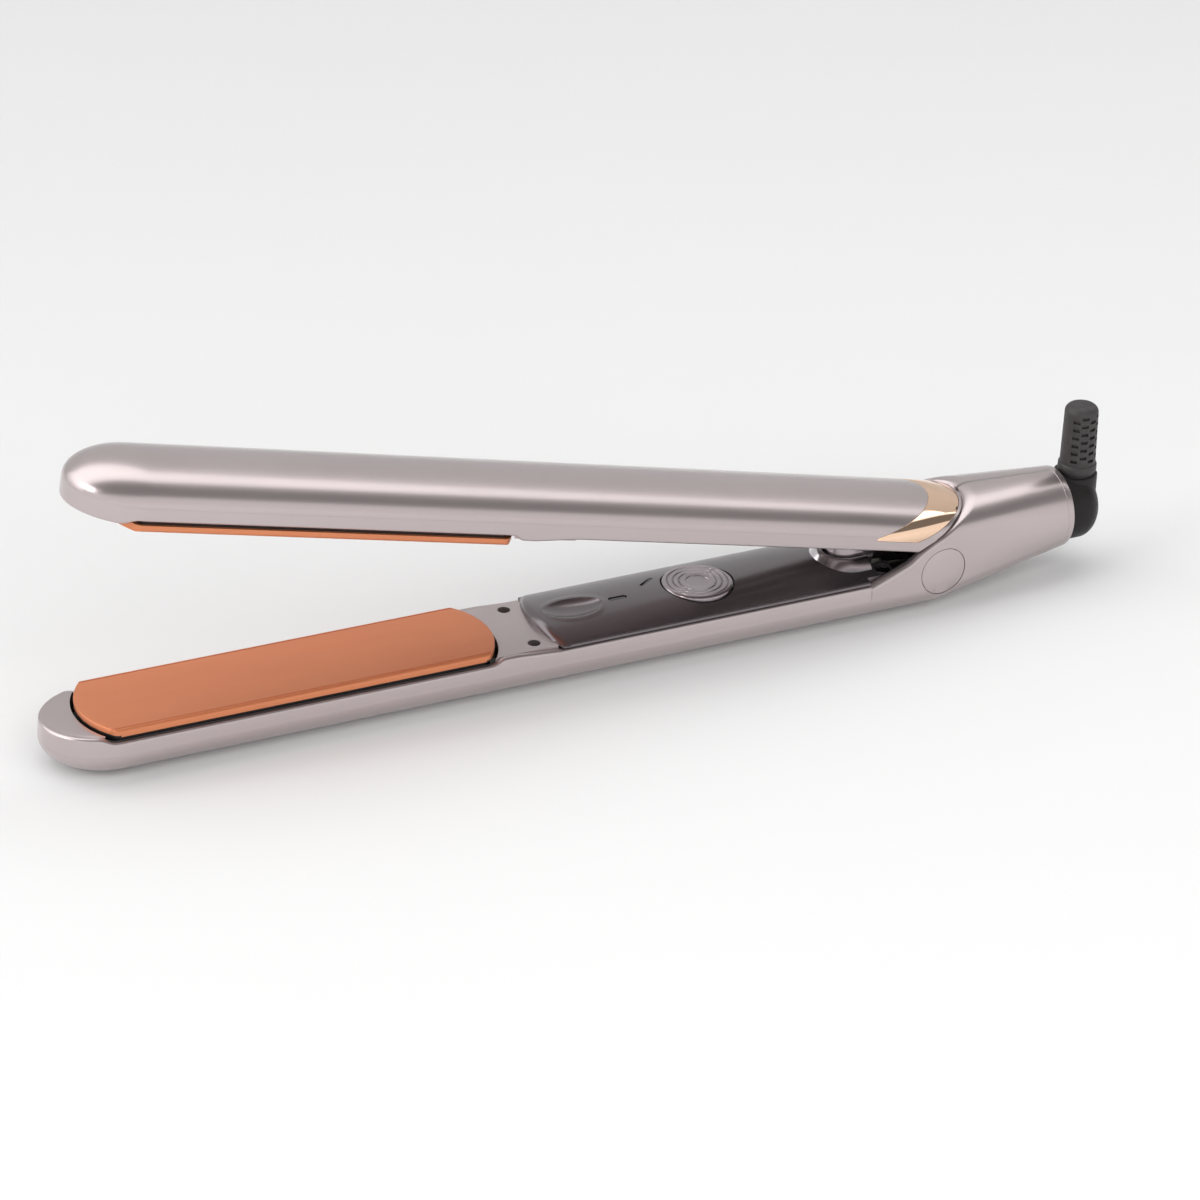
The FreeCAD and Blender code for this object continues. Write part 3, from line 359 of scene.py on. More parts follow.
def lacquer(name, dark, light, rough, metallic):
    """Pearl lacquer: tiny bright flakes under a clear coat."""
    tree, shader = new_material(name, light, metallic, rough[0], 0.55, 0.1)
    worn(tree, shader, dark, light, 60.0, ALONG, rough)
    place = tree.nodes.new("ShaderNodeTexCoord")
    flakes = tree.nodes.new("ShaderNodeTexVoronoi")
    put(flakes, Scale=7000.0)
    grey = tree.nodes.new("ShaderNodeRGBToBW")
    mix = tree.nodes.new("ShaderNodeMix")
    mix.data_type = "RGBA"
    mix.blend_type = "SOFT_LIGHT"
    put(mix, Factor=0.04)
    colour = shader.inputs["Base Color"].links[0].from_socket
    tree.links.new(place.outputs["Object"], flakes.inputs["Vector"])
    tree.links.new(flakes.outputs["Color"], grey.inputs["Color"])
    tree.links.new(colour, mix.inputs["A"])
    tree.links.new(grey.outputs["Val"], mix.inputs["B"])
    tree.links.new(mix.outputs["Result"], shader.inputs["Base Color"])


lacquer("mauve", (0.50, 0.43, 0.43), (0.53, 0.455, 0.457), (0.282, 0.315), 0.9)
lacquer("dark_mauve", (0.15, 0.128, 0.135), (0.172, 0.147, 0.155), (0.22, 0.27), 0.85)
lacquer("button_mauve", (0.36, 0.31, 0.33), (0.42, 0.37, 0.385), (0.18, 0.24), 0.95)

# For each look: metallic, its clear coat and that coat's roughness, then what worn() takes.
LOOKS = {
    "copper": (0.6, 0.2, 0.3, (0.59, 0.20, 0.088), (0.64, 0.225, 0.10), 55.0, ALONG,
               (0.38, 0.46), 0.000002, 5200.0),
    "rose_gold": (1.0, 0, 0, (0.94, 0.66, 0.48), (0.98, 0.70, 0.51), 90.0, EVEN, (0.03, 0.06)),
    "chrome": (1.0, 0, 0, (0.78, 0.74, 0.765), (0.9, 0.87, 0.89), 120.0, EVEN, (0.16, 0.24)),
    "hub_black": (0.0, 0, 0, (0.009, 0.0075, 0.0075), (0.014, 0.012, 0.012), 240.0, EVEN,
                  (0.36, 0.5), 0.000006, 5200.0),
    "relief_black": (0.0, 0, 0, (0.024, 0.020, 0.021), (0.038, 0.032, 0.033), 300.0, EVEN,
                     (0.48, 0.6), 0.000008, 4200.0),
    "smoked": (0.0, 0.6, 0.05, (0.014, 0.011, 0.012), (0.03, 0.024, 0.026), 500.0, EVEN,
               (0.08, 0.16)),
    "steel": (1.0, 0, 0, (0.36, 0.36, 0.37), (0.55, 0.55, 0.57), 700.0, (1, 1, 6),
              (0.24, 0.38), 0.000004, 6000.0),
    "dark_steel": (1.0, 0, 0, (0.035, 0.03, 0.032), (0.09, 0.08, 0.085), 900.0, EVEN,
                   (0.3, 0.45), 0.000003, 6000.0),
    # Black plastic; on the lower plate's side the same black stands for painted shade.
    "black_and_painted_shade": (0.0, 0, 0, (0.006, 0.005, 0.005), (0.014, 0.011, 0.011), 300.0, EVEN,
                      (0.5, 0.65), 0.00001, 4500.0),
}
INNER_LOOKS = {
    "ceramic": (0.0, (0.74, 0.72, 0.68), (0.84, 0.83, 0.80), (0.5, 0.65)),
    "component_black": (0.0, (0.010, 0.010, 0.012), (0.025, 0.025, 0.028), (0.35, 0.5)),
    "silicone": (0.0, (0.52, 0.52, 0.49), (0.62, 0.62, 0.60), (0.55, 0.7)),
    "spring_steel": (1.0, (0.16, 0.16, 0.17), (0.28, 0.28, 0.30), (0.25, 0.38)),
    "board_green": (0.0, (0.008, 0.06, 0.02), (0.015, 0.10, 0.035), (0.3, 0.42)),
    "led_clear": (0.0, (0.70, 0.70, 0.66), (0.80, 0.80, 0.77), (0.12, 0.2)),
    "bush_white": (0.0, (0.70, 0.70, 0.67), (0.80, 0.80, 0.78), (0.38, 0.5)),
    "lead_sleeve": (0.0, (0.60, 0.56, 0.48), (0.78, 0.75, 0.68), (0.75, 0.9)),
}
for look, (metallic, dark, light, rough) in INNER_LOOKS.items():
    LOOKS[look] = (metallic, 0, 0, dark, light, 420.0, EVEN, rough, 0.00001, 5000.0)
for look, (metallic, coat, coat_roughness, *wear) in LOOKS.items():
    tree, shader = new_material(look, wear[1], metallic, wear[4][0], coat, coat_roughness)
    worn(tree, shader, *wear)
    if look == "hub_black":
        put(shader, Specular_IOR_Level=0.25)

# Looks of the CAD nodes that are not drawn anew.
CARRIED = {
    "mauve_gloss": "mauve", "dark_mauve": "dark_mauve", "mauve_metal": "button_mauve",
    "chrome": "chrome", "copper_plate": "copper", "rose_gold": "rose_gold",
    "black_plastic": "black_and_painted_shade", "soft_black": "relief_black", "steel": "steel",
    "smoked_lens": "smoked",
}
BRACKET_NODES = ("hinge_bracket", "bracket_screws", "hinge_pin")
for entry in frame["record"]["subparts"]:
    look = CARRIED.get(entry["material_slot"], entry["material_slot"])
    if entry["node"] in BRACKET_NODES:
        look = "dark_steel"
    node = frame["nodes"][entry["node"]]
    for index in range(len(node.data.materials)):
        node.data.materials[index] = materials[look]

# ---- backs of the arms ----

AROUND = 72
NOSE_STEPS = 28


def back_ring(nose_turn, place, inset=0.0):
    """One ring of an arm's back: outer skin there, inner skin back.

    nose_turn is the angle round the nose (a right angle on the straight part); place gives u
    from a depth on the straight part; inset draws in the outer skin.
    """
    ring = []
    size = sin(nose_turn)
    for skin, order in ((inset, range(AROUND + 1)), (WALL, range(AROUND, -1, -1))):
        for k in order:
            turn = pi * k / AROUND
            depth = CREASE + (RISE - skin) * size * sin(turn)
            full = CREASE + RISE * size * sin(turn)
            u = place(full) if place else NOSE - (NOSE - skin) * cos(nose_turn)
            ring.append((u, (HALF - skin) * size * cos(turn), depth))
    return ring


TRIM_RECESS = 0.85
END_SOFT = 0.35


def upper_back():
    """Back of the upper arm with the recess that the trim lies in."""
    right = pi / 2
    rings = [back_ring(right * k / NOSE_STEPS, None) for k in range(NOSE_STEPS + 1)]
    for u in (60.0, 110.0, 150.0, 180.0, 196.0):
        rings.append(back_ring(right, lambda depth, u=u: u))
    for place, inset in ((trim_front, 0.0), (trim_front, TRIM_RECESS), (trim_rear, TRIM_RECESS),
                         (trim_rear, 0.0)):
        rings.append(back_ring(right, place, inset))
    for t in (0.0, 0.35, 0.7, 1.0):
        inset = END_SOFT * (1 - sqrt(1 - t * t))
        rings.append(back_ring(right, lambda depth, t=t: end_line(depth) - END_SOFT * (1 - t),
                               inset))
    return piece_from("upper_back", rings, UPPER)


def upper_rear_wall():
    """Slanted wall that closes the arm above the hinge bracket."""
    floor = 8.2
    loop = []
    start = asin((floor - CREASE) / (RISE - WALL + 0.1))
    for k in range(41):
        turn = start + (pi - 2 * start) * k / 40
        loop.append(((HALF - WALL + 0.1) * cos(turn),
                     CREASE + (RISE - WALL + 0.1) * sin(turn)))
    rings = [[(end_line(z) - back, y, z) for y, z in loop] for back in (2.6, 0.15)]
    return piece_from("upper_rear_wall", rings, UPPER)


finish_piece(join("upper_arm_back", [upper_back(), upper_rear_wall()]), "upper_arm",
             ["upper_shell"], "mauve")

# ---- upright bands and decks ----

LIP = 0.7


def draft(depth):
    return DRAFT * max(0.0, CREASE - depth) / (CREASE - SIDE_DROP)


def band_profile(top, recess):
    """(inset, depth) round the wall of the band, from the crease over the rim and back."""
    low = CREASE - SEAM
    break_at = TRIM_BOTTOM - 0.06
    profile = [(draft(low) + recess, low), (draft(5.7) + recess, 5.7),
               (draft(break_at) + recess, break_at + 0.005), (draft(break_at), break_at)]
    edge = draft(top + LIP)
    profile += [(edge + away, top + drop) for away, drop in quarter_round(LIP, 6)]
    profile += [(WALL - 0.15, top), (WALL, top + 0.15), (WALL, low)]
    return profile


def straight_ring(side, place, top, recess=0.0):
    return [(place(depth), side * (HALF - inset), depth)
            for inset, depth in band_profile(top, recess)]


def nose_ring(turn, top):
    ring = []
    for inset, depth in band_profile(top, 0.0):
        ring.append((NOSE - (NOSE - inset) * cos(turn), (HALF - inset) * sin(turn),
                     depth))
    return ring


def smooth(value, low, high):
    """Eased step from 0 at low to 1 at high."""
    t = min(1.0, max(0.0, (value - low) / (high - low)))
    return t * t * (3 - 2 * t)


def nose_top(turn):
    u = NOSE - (NOSE - LIP) * cos(turn)
    return FLAT_DROP + (SIDE_DROP - FLAT_DROP) * smooth(u, 9.6, 13.6)


def fixed(u):
    return lambda depth: u


def side_rings(side, rear):
    """Rings from the nose to the rear end on one side."""
    rings = []
    rise_start = PLATE_END - PLATE_BOW + PLATE_GAP
    for u in (NOSE + 0.01, 40.0, 70.0, rise_start - 0.2):
        rings.append(straight_ring(side, fixed(u), SIDE_DROP))
    for k in range(1, 7):
        u = rise_start + 3.2 * k / 6
        top = SIDE_DROP + (FLAT_DROP - SIDE_DROP) * smooth(u, rise_start, rise_start + 3.2)
        rings.append(straight_ring(side, fixed(u), top))
    for k in range(9):
        u = PLATE_END + 2.0 + (PANEL_FRONT - PLATE_END) * k / 8
        top = FLAT_DROP + (REAR_DROP - FLAT_DROP) * k / 8
        rings.append(straight_ring(side, fixed(u), top))
    for u in (150.0, 180.0):
        rings.append(straight_ring(side, fixed(u), REAR_DROP))
    if rear == "lower":
        rings.append(straight_ring(side, fixed(HOUSING_FRONT - SEAM), REAR_DROP))
        return rings
    rings.append(straight_ring(side, fixed(196.0), REAR_DROP))

    def line(depth, place):
        return place(max(depth, TRIM_BOTTOM - 0.06))

    for place, recess in ((trim_front, 0.0), (trim_front, TRIM_RECESS), (trim_rear, TRIM_RECESS),
                          (trim_rear, 0.0)):
        rings.append(straight_ring(side, lambda depth, p=place: line(depth, p), REAR_DROP, recess))
    rings.append(straight_ring(side, end_line, REAR_DROP))
    return rings


def band(name, rear, arm, sign):
    near = side_rings(-1, rear)[::-1]
    nose = [nose_ring(-pi / 2 + pi * k / 96, nose_top(-pi / 2 + pi * k / 96))
            for k in range(97)]
    return piece_from(name, near + nose + side_rings(1, rear), arm, sign)


def window_front(y):
    """Front arc of the opening round the plate."""
    half, bow = PLATE_HALF + PLATE_GAP, PLATE_BOW
    radius = (half ** 2 + bow ** 2) / (2 * bow)
    return PLATE_START - PLATE_GAP + radius - sqrt(radius ** 2 - y ** 2)


def deck_rings(front, rear, reach, top, thick):
    """A flat deck between two lines across the arm, with a softened front edge."""
    rings = []
    steps, soft = 60, 0.3
    edge = quarter_round(soft, 4)
    for k in range(steps + 1):
        y = -reach + 2 * reach * k / steps
        a, b = front(y), rear(y)
        profile = [(a, top + thick), (a, top + soft)]
        profile += [(a + away, top + drop) for away, drop in edge[1:]]
        profile += [(b - soft + away, top + drop) for away, drop in edge[-2::-1]]
        profile += [(b, top + thick)]
        rings.append([(u, y, z) for u, z in profile])
    return rings


def nose_inner(y):
    inset = WALL - 0.1
    return NOSE - (NOSE - inset) * sqrt(max(0.0, 1 - (y / (HALF - inset)) ** 2))


def rear_window(y):
    return PLATE_START + PLATE_END - window_front(y)


SCREW_U, SCREW_Y = 116.8, 8.6
DECK_THICK, NOSE_DECK_HALF, HANDLE_DECK_REAR = 1.6, 11.1, 206.0


def decks(prefix, arm, sign):
    """Nose deck, and the deck behind the plate with the screw holes."""
    nose_deck = piece_from(prefix + "_nose_deck",
                           deck_rings(lambda y: nose_inner(y) - 0.35, window_front,
                                      NOSE_DECK_HALF, FLAT_DROP, DECK_THICK), arm, sign)
    rear_deck = piece_from(prefix + "_rear_deck",
                           deck_rings(rear_window, lambda y: PANEL_FRONT + 2,
                                      HALF - WALL + 0.05, FLAT_DROP, DECK_THICK), arm, sign)
    holes = [round_bar("hole", 1.5, (SCREW_U, y, sign * -1), (SCREW_U, y, sign * 6), arm, 48)
             for y in (-SCREW_Y, SCREW_Y)]
    carve(rear_deck, holes)
    return [nose_deck, rear_deck]


lower_cover = join("lower_arm_band", [band("band", "lower", LOWER, -1)]
                   + decks("lower", LOWER, -1))
finish_piece(lower_cover, "lower_arm", ["lower_inner_cover"], "mauve")

handle_deck = piece_from("handle_deck",
                         deck_rings(lambda y: PANEL_FRONT + 1.6, lambda y: HANDLE_DECK_REAR,
                                    HALF - WALL + 0.05, REAR_DROP, DECK_THICK), UPPER)
slot_loop = pill_loop(SLOT_U + 10, 0, 20 + 2 * TONGUE_RADIUS + 0.2, 2 * TONGUE_RADIUS + 0.2, 0, 32)
carve(handle_deck, [upright("slot", slot_loop, 0, 8, UPPER)])
upper_cover = join("upper_arm_band", [band("band", "upper", UPPER, 1), handle_deck]
                   + decks("upper", UPPER, 1))
finish_piece(upper_cover, "upper_arm", ["upper_inner_cover"], "mauve")

# ---- trim ----

TRIM_THICK = 0.8


def trim():
    """Polished trim that wraps the rear of the upper arm."""
    depths = [TRIM_BOTTOM + SEAM, 5.45, 5.7, 5.95, CREASE]
    samples = [(-1, depth, None) for depth in depths]
    samples += [(0, None, pi * k / AROUND) for k in range(1, AROUND)]
    samples += [(1, depth, None) for depth in reversed(depths)]
    rings = []
    for side, depth, turn in samples:
        def at(inset, side=side, depth=depth, turn=turn):
            if turn is None:
                return side * (HALF - draft(depth) - inset), depth
            return (-(HALF - inset) * cos(turn), CREASE + (RISE - inset) * sin(turn))
        line = depth if turn is None else CREASE + RISE * sin(turn)
        front, rear = trim_front(line) + 0.05, trim_rear(line) - 0.05
        ring = []
        bevel = min(0.18, (rear - front) / 5)
        for u, inset in ((front, TRIM_THICK), (front, bevel), (front + bevel * 0.3, bevel * 0.3),
                         (front + bevel, 0.0), (rear - bevel, 0.0),
                         (rear - bevel * 0.3, bevel * 0.3), (rear, bevel), (rear, TRIM_THICK)):
            y, z = at(inset)
            ring.append((u, y, z))
        rings.append(ring)
    return piece_from("rear_trim", rings, UPPER)


finish_piece(trim(), "upper_arm", ["upper_trim"], "rose_gold", 50.0)

# ---- lower shell with the hinge housing ----

SHOULDER_SOFT = 1.3
LIP_GAP = 0.4
EDGE_ROUND, LIP_LONG, LIP_DEEP = 1.3, 3.4, 1.5


def shoulder_height(u):
    """Height of the shoulder, its outline softened at the corners."""
    spread = [along(SHOULDER, u + SHOULDER_SOFT * k / 4, 0) for k in range(-4, 5)]
    return sum(spread) / len(spread) - 0.05


CREASE_ANGLE = radians(27)
TOP_GIRTH = 3.0


def half_section(u, girth, inset):
    """(y, z) on the far half of the section, which turns from the arm's form into a circle.

    Girth 0 is the base, 1 and 2 are the creases and 3 is the top.
    """
    half, rise = HALF - inset, RISE - inset
    if 1 < girth <= 2:
        flat_y, flat_z = half, -CREASE + 2 * CREASE * (girth - 1)
        angle = CREASE_ANGLE * (2 * girth - 3)
    else:
        side = -1 if girth <= 1 else 1
        share = 1 - girth if girth <= 1 else girth - 2
        turn = pi / 2 * share
        flat_y, flat_z = half * cos(turn), side * (CREASE + rise * sin(turn))
        angle = side * (CREASE_ANGLE + (pi / 2 - CREASE_ANGLE) * share)
    blend = max(0.0, (u - TAPER_START) / (HOUSING_END - TAPER_START))
    radius = END_RADIUS - inset
    circle_y, circle_z = radius * cos(angle), SWIVEL_Z + radius * sin(angle)
    return flat_y + (circle_y - flat_y) * blend, flat_z + (circle_z - flat_z) * blend


def girth_at(u, z, inset=0.0):
    """Girth at which the section reaches the height z."""
    low, high = 0.0, TOP_GIRTH
    for _ in range(40):
        middle = (low + high) / 2
        if half_section(u, middle, inset)[1] < z:
            low = middle
        else:
            high = middle
    return low


HOUSING_STEPS = 96
INNER_WALL = 2.0


def lip_line(y):
    """Where the housing's lip stands: just behind the open upper arm's rear end."""
    z = CREASE + RISE * sqrt(max(0.0, 1 - (y / HALF) ** 2))
    along_arm, across_arm = end_line(z) - HINGE_U, z - HINGE_Z
    return HINGE_U + along_arm * cos(OPEN) + across_arm * sin(OPEN) + LIP_GAP


def opening_girth(u, inset):
    """Girth above which the housing is cut away for the upper arm."""
    low, high = girth_at(u, shoulder_height(u), inset), TOP_GIRTH
    if u < HINGE_U or lip_line(half_section(u, low, inset)[0]) > u:
        return low
    if lip_line(0.0) <= u:
        return TOP_GIRTH
    for _ in range(30):
        middle = (low + high) / 2
        if lip_line(half_section(u, middle, inset)[0]) > u:
            high = middle
        else:
            low = middle
    return high


def rim_inset(u, y, z):
    """How far the rounded rim of the opening has drawn the skin in at a point."""
    below = max(0.0, shoulder_height(u) - z) / EDGE_ROUND
    behind = max(0.0, u - max(HINGE_U, lip_line(y))) / LIP_LONG
    away = min(1.0, hypot(below, behind))
    deep = EDGE_ROUND + (LIP_DEEP - EDGE_ROUND) * smooth(behind - below, 0.0, 0.5)
    return deep * (1 - sqrt(1 - (1 - away) ** 2))


def housing_ring(u, opening, rounded_rim=False):
    """One ring of the housing, open above a girth."""
    outer, inner = [], []
    inside = opening if u < HINGE_U else opening_girth(u, INNER_WALL)
    for k in range(HOUSING_STEPS + 1):
        girth = opening * k / HOUSING_STEPS
        y, z = half_section(u, girth, 0.0)
        if rounded_rim and girth > 1:
            y, z = half_section(u, girth, rim_inset(u, y, z))
        outer.append((y, max(z, -BASE)))
        inner.append(half_section(u, inside * k / HOUSING_STEPS, INNER_WALL))
    if u < HINGE_U:
        inner[-1] = (inner[-1][0], outer[-1][1])
    ring = [(u, -y, z) for y, z in reversed(outer)] + [(u, y, z) for y, z in outer]
    ring += [(u, y, z) for y, z in reversed(inner)] + [(u, -y, z) for y, z in inner]
    return ring


def nose_shell_ring(turn):
    """One ring of the lower back at an angle round the nose."""
    size = sin(turn)
    up, down = range(HOUSING_STEPS + 1), range(HOUSING_STEPS, -1, -1)
    ring = []
    for skin, order, side in ((0.0, down, -1), (0.0, up, 1), (INNER_WALL, down, 1),
                              (INNER_WALL, up, -1)):
        for j in order:
            lean = pi / 2 * (1 - j / HOUSING_STEPS)
            u = NOSE - (NOSE - skin) * cos(turn)
            y = (HALF - skin) * size * cos(lean)
            z = -CREASE - (RISE - skin) * size * sin(lean)
            ring.append((u, side * y, max(z, -BASE) if skin == 0 else z))
    return ring


def lower_back():
    """Back of the lower arm and the hinge housing in one skin."""
    rings = [nose_shell_ring(pi / 2 * k / NOSE_STEPS) for k in range(NOSE_STEPS + 1)]
    for u in (40.0, 80.0, 120.0, 160.0, 190.0, HOUSING_FRONT):
        rings.append(housing_ring(u, 1.0))
    apex = lip_line(0.0)
    places = [HOUSING_FRONT + (HINGE_U - HOUSING_FRONT) * k / 40 for k in range(40)]
    places += [apex - (apex - HINGE_U) * (1 - k / 40) ** 2 for k in range(41)]
    for u in places:
        rings.append(housing_ring(u, opening_girth(u, 0.0), True))
    for k in range(1, 15):
        rings.append(housing_ring(apex + LIP_LONG * (k / 14) ** 2, TOP_GIRTH, True))
    start, rear = apex + LIP_LONG, HOUSING_END - COLLAR - SEAM
    for k in range(1, 13):
        rings.append(housing_ring(start + (rear - start) * k / 12, TOP_GIRTH))
    return piece_from("lower_arm_shell", rings, LOWER)


CAP_RADIUS = 6.0
CAP_SEAT = 12.2
shell = lower_back()
seats = [round_bar("seat", CAP_RADIUS + 0.12, (HINGE_U, side * CAP_SEAT, HINGE_Z),
                   (HINGE_U, side * 16.0, HINGE_Z), LOWER, 128) for side in (-1, 1)]
carve(shell, seats)
finish_piece(shell, "lower_arm", ["lower_shell"], "mauve")


def side_of(u, z):
    return half_section(u, girth_at(u, z), 0.0)[0]


def hinge_cap(name, side):
    """Flush round cap; its face follows the wall of the housing."""
    rings = []
    steps = 96
    bevel = 0.16
    for k in range(steps):
        turn = 2 * pi * k / steps
        ring = []
        for radius, sunk in ((0.0, 0.0), (3.0, 0.0), (CAP_RADIUS - bevel, 0.0),
                             (CAP_RADIUS - bevel * 0.3, bevel * 0.3), (CAP_RADIUS, bevel)):
            u = HINGE_U + radius * cos(turn)
            z = HINGE_Z + radius * sin(turn)
            ring.append((u, side * (side_of(u, z) - sunk), z))
        ring.append((HINGE_U + CAP_RADIUS * cos(turn), side * (CAP_SEAT + 0.02),
                     HINGE_Z + CAP_RADIUS * sin(turn)))
        ring.append((HINGE_U, side * (CAP_SEAT + 0.02), HINGE_Z))
        rings.append(ring)
    return piece_from(name, rings, LOWER, closed=True)


for name, side in (("near", -1), ("far", 1)):
    finish_piece(hinge_cap("hinge_disc_" + name, side), "lower_arm", ["hinge_cap_" + name],
                 "mauve")


def collar_ring():
    """Last ring of the housing, with the bore that the swivel turns in."""
    front, rear = HOUSING_END - COLLAR + SEAM, HOUSING_END
    rings = []
    steps = 128
    bore = 5.5
    for k in range(steps):
        share = k / steps
        girth = TOP_GIRTH * (share * 2 if share <= 0.5 else 2 - share * 2)
        side = 1 if share <= 0.5 else -1

        def at(u, inset, girth=girth, side=side):
            y, z = half_section(u, girth, inset)
            return (u, side * y, z)
        ring = [at(front, 0.12), at(front + 0.12, 0.0), at(rear - 0.3, 0.0),
                at(rear - 0.1, 0.1), at(rear, 0.3)]
        y, z = half_section(rear, girth, 0.0)
        reach = hypot(y, z - SWIVEL_Z)
        inner = (side * y * bore / reach, SWIVEL_Z + (z - SWIVEL_Z) * bore / reach)
        ring += [(rear, *inner), (front, *inner)]
        rings.append(ring)
    return piece_from("housing_ring", rings, LOWER, closed=True)


finish_piece(collar_ring(), "lower_arm", ["rear_collar"], "mauve")

# ---- plates ----

PLATE_THICK = 1.7
PLATE_CORNER = 2.0
ROLL = 0.9
GROOVE_AT, GROOVE_HALF, GROOVE_DEEP = 11.38, 0.13, 0.24
PLATE_EDGE = 0.22


def plate_front(y):
    """Front edge of the plate, with its rounded corner."""
    big = (PLATE_HALF ** 2 + PLATE_BOW ** 2) / (2 * PLATE_BOW)
    centre = PLATE_START + big
    corner_y = PLATE_HALF - PLATE_CORNER
    corner_u = centre - sqrt((big - PLATE_CORNER) ** 2 - corner_y ** 2)
    touch = big * corner_y / (big - PLATE_CORNER)
    if abs(y) < touch:
        return centre - sqrt(big ** 2 - y ** 2)
    return corner_u - sqrt(max(0.0, PLATE_CORNER ** 2 - (abs(y) - corner_y) ** 2))


def plate_top(y):
    """Depth of the plate's face: flat, a fine groove, then a rolled edge."""
    reach = abs(y) - (PLATE_HALF - ROLL)
    if reach > 0:
        return ROLL * (1 - sqrt(max(0.0, 1 - (reach / ROLL) ** 2)))
    if abs(abs(y) - GROOVE_AT) < GROOVE_HALF - 0.02:
        return GROOVE_DEEP
    return 0.0


def plate(name, arm, sign, body, node, shade_depth):
    """Heated plate, copper down to a given depth and painted black below it, as painted shade on the plate's side
    in the gap under its edge.
    """
    half_rows = [0.0, 3.0, 6.0, 8.5, 10.4, 11.2, GROOVE_AT - GROOVE_HALF,
                 GROOVE_AT - GROOVE_HALF + 0.03, GROOVE_AT + GROOVE_HALF - 0.03,
                 GROOVE_AT + GROOVE_HALF]
    half_rows += [PLATE_HALF - ROLL + ROLL * sin(pi / 2 * k / 10) for k in range(11)]
    rows = [-y for y in reversed(half_rows[1:])] + half_rows
    rings = []
    edge = quarter_round(PLATE_EDGE, 3)
    foot = min(shade_depth, PLATE_THICK - 0.1)
    for y in rows:
        a, b = plate_front(y), PLATE_START + PLATE_END - plate_front(y)
        top = plate_top(y)
        ring = [(a, PLATE_THICK), (a, foot)]
        ring += [(a + away, top + drop) for away, drop in edge]
        ring += [(a + 2.0, top), (a + 12.0, top), (b - 12.0, top), (b - 2.0, top)]
        ring += [(b - away, top + drop) for away, drop in edge[::-1]]
        ring += [(b, foot), (b, PLATE_THICK)]
        rings.append([(u, y, z) for u, z in ring])
    piece = piece_from(name, rings, arm, sign)
    finish_piece(piece, body, [node], "copper", 40.0)
    piece.data.materials.append(materials["black_and_painted_shade"])
    # Faces deeper than that depth are painted black as shade in the gap under the plate's edge.
    back = arm.inverted()
    for face in piece.data.polygons:
        if sign * (back @ face.center).z > shade_depth:
            face.material_index = 1


# The lower plate's side is painted black below 1.3 mm as shade; the upper plate stays copper.
plate("lower_heat_plate", LOWER, -1, "lower_floating_plate", "lower_plate", 1.3)
plate("upper_heat_plate", UPPER, 1, "upper_floating_plate", "upper_plate", PLATE_THICK)

# ---- control panel ----

FRONT_ARC, FRONT_CENTRE = 34.0, 153.8
PANEL_ROLL, SIDE_ROLL, PANEL_BASE = 1.9, 0.45, 2.0
DISH_U, DISH_LENGTH, DISH_WIDTH, DISH_DEEP = 130.5, 7.2, 4.5, 1.3
BUTTON_U, BUTTON_RADIUS, BUTTON_TOP = 163.0, 8.5, 0.9
PANEL_SCREW_U, PANEL_SCREW_Y = 207.8, 9.2
LAMP = (142.1, 0.0, 4.7, 1.5, 0.0)
STATUS = (152.0, 5.1, 5.2, 0.9, radians(36.0))


def crown(y):
    return CROWN - (CROWN + EDGE_DROP) * (y / PANEL_HALF) ** 2


def panel_edge(y):
    return FRONT_CENTRE - sqrt(FRONT_ARC ** 2 - y ** 2)


def quarter(reach, radius):
    """How far a rounded edge has dropped at a distance from the edge."""
    if reach >= radius:
        return 0.0
    share = 1 - max(0.0, reach) / radius
    return radius * (1 - sqrt(max(0.0, 1 - share * share)))


def panel_height(u, y):
    from_front = FRONT_ARC - hypot(u - FRONT_CENTRE, y) if u < FRONT_CENTRE else 99.0
    drop = quarter(from_front, PANEL_ROLL) + quarter(PANEL_HALF - abs(y), SIDE_ROLL)
    away = hypot((u - DISH_U) / (DISH_LENGTH + 0.9), y / (DISH_WIDTH + 0.9))
    lip = 0.16 * exp(-((away - 0.93) / 0.09) ** 2)
    return max(crown(y) - drop + lip, -PANEL_BASE + 0.25)


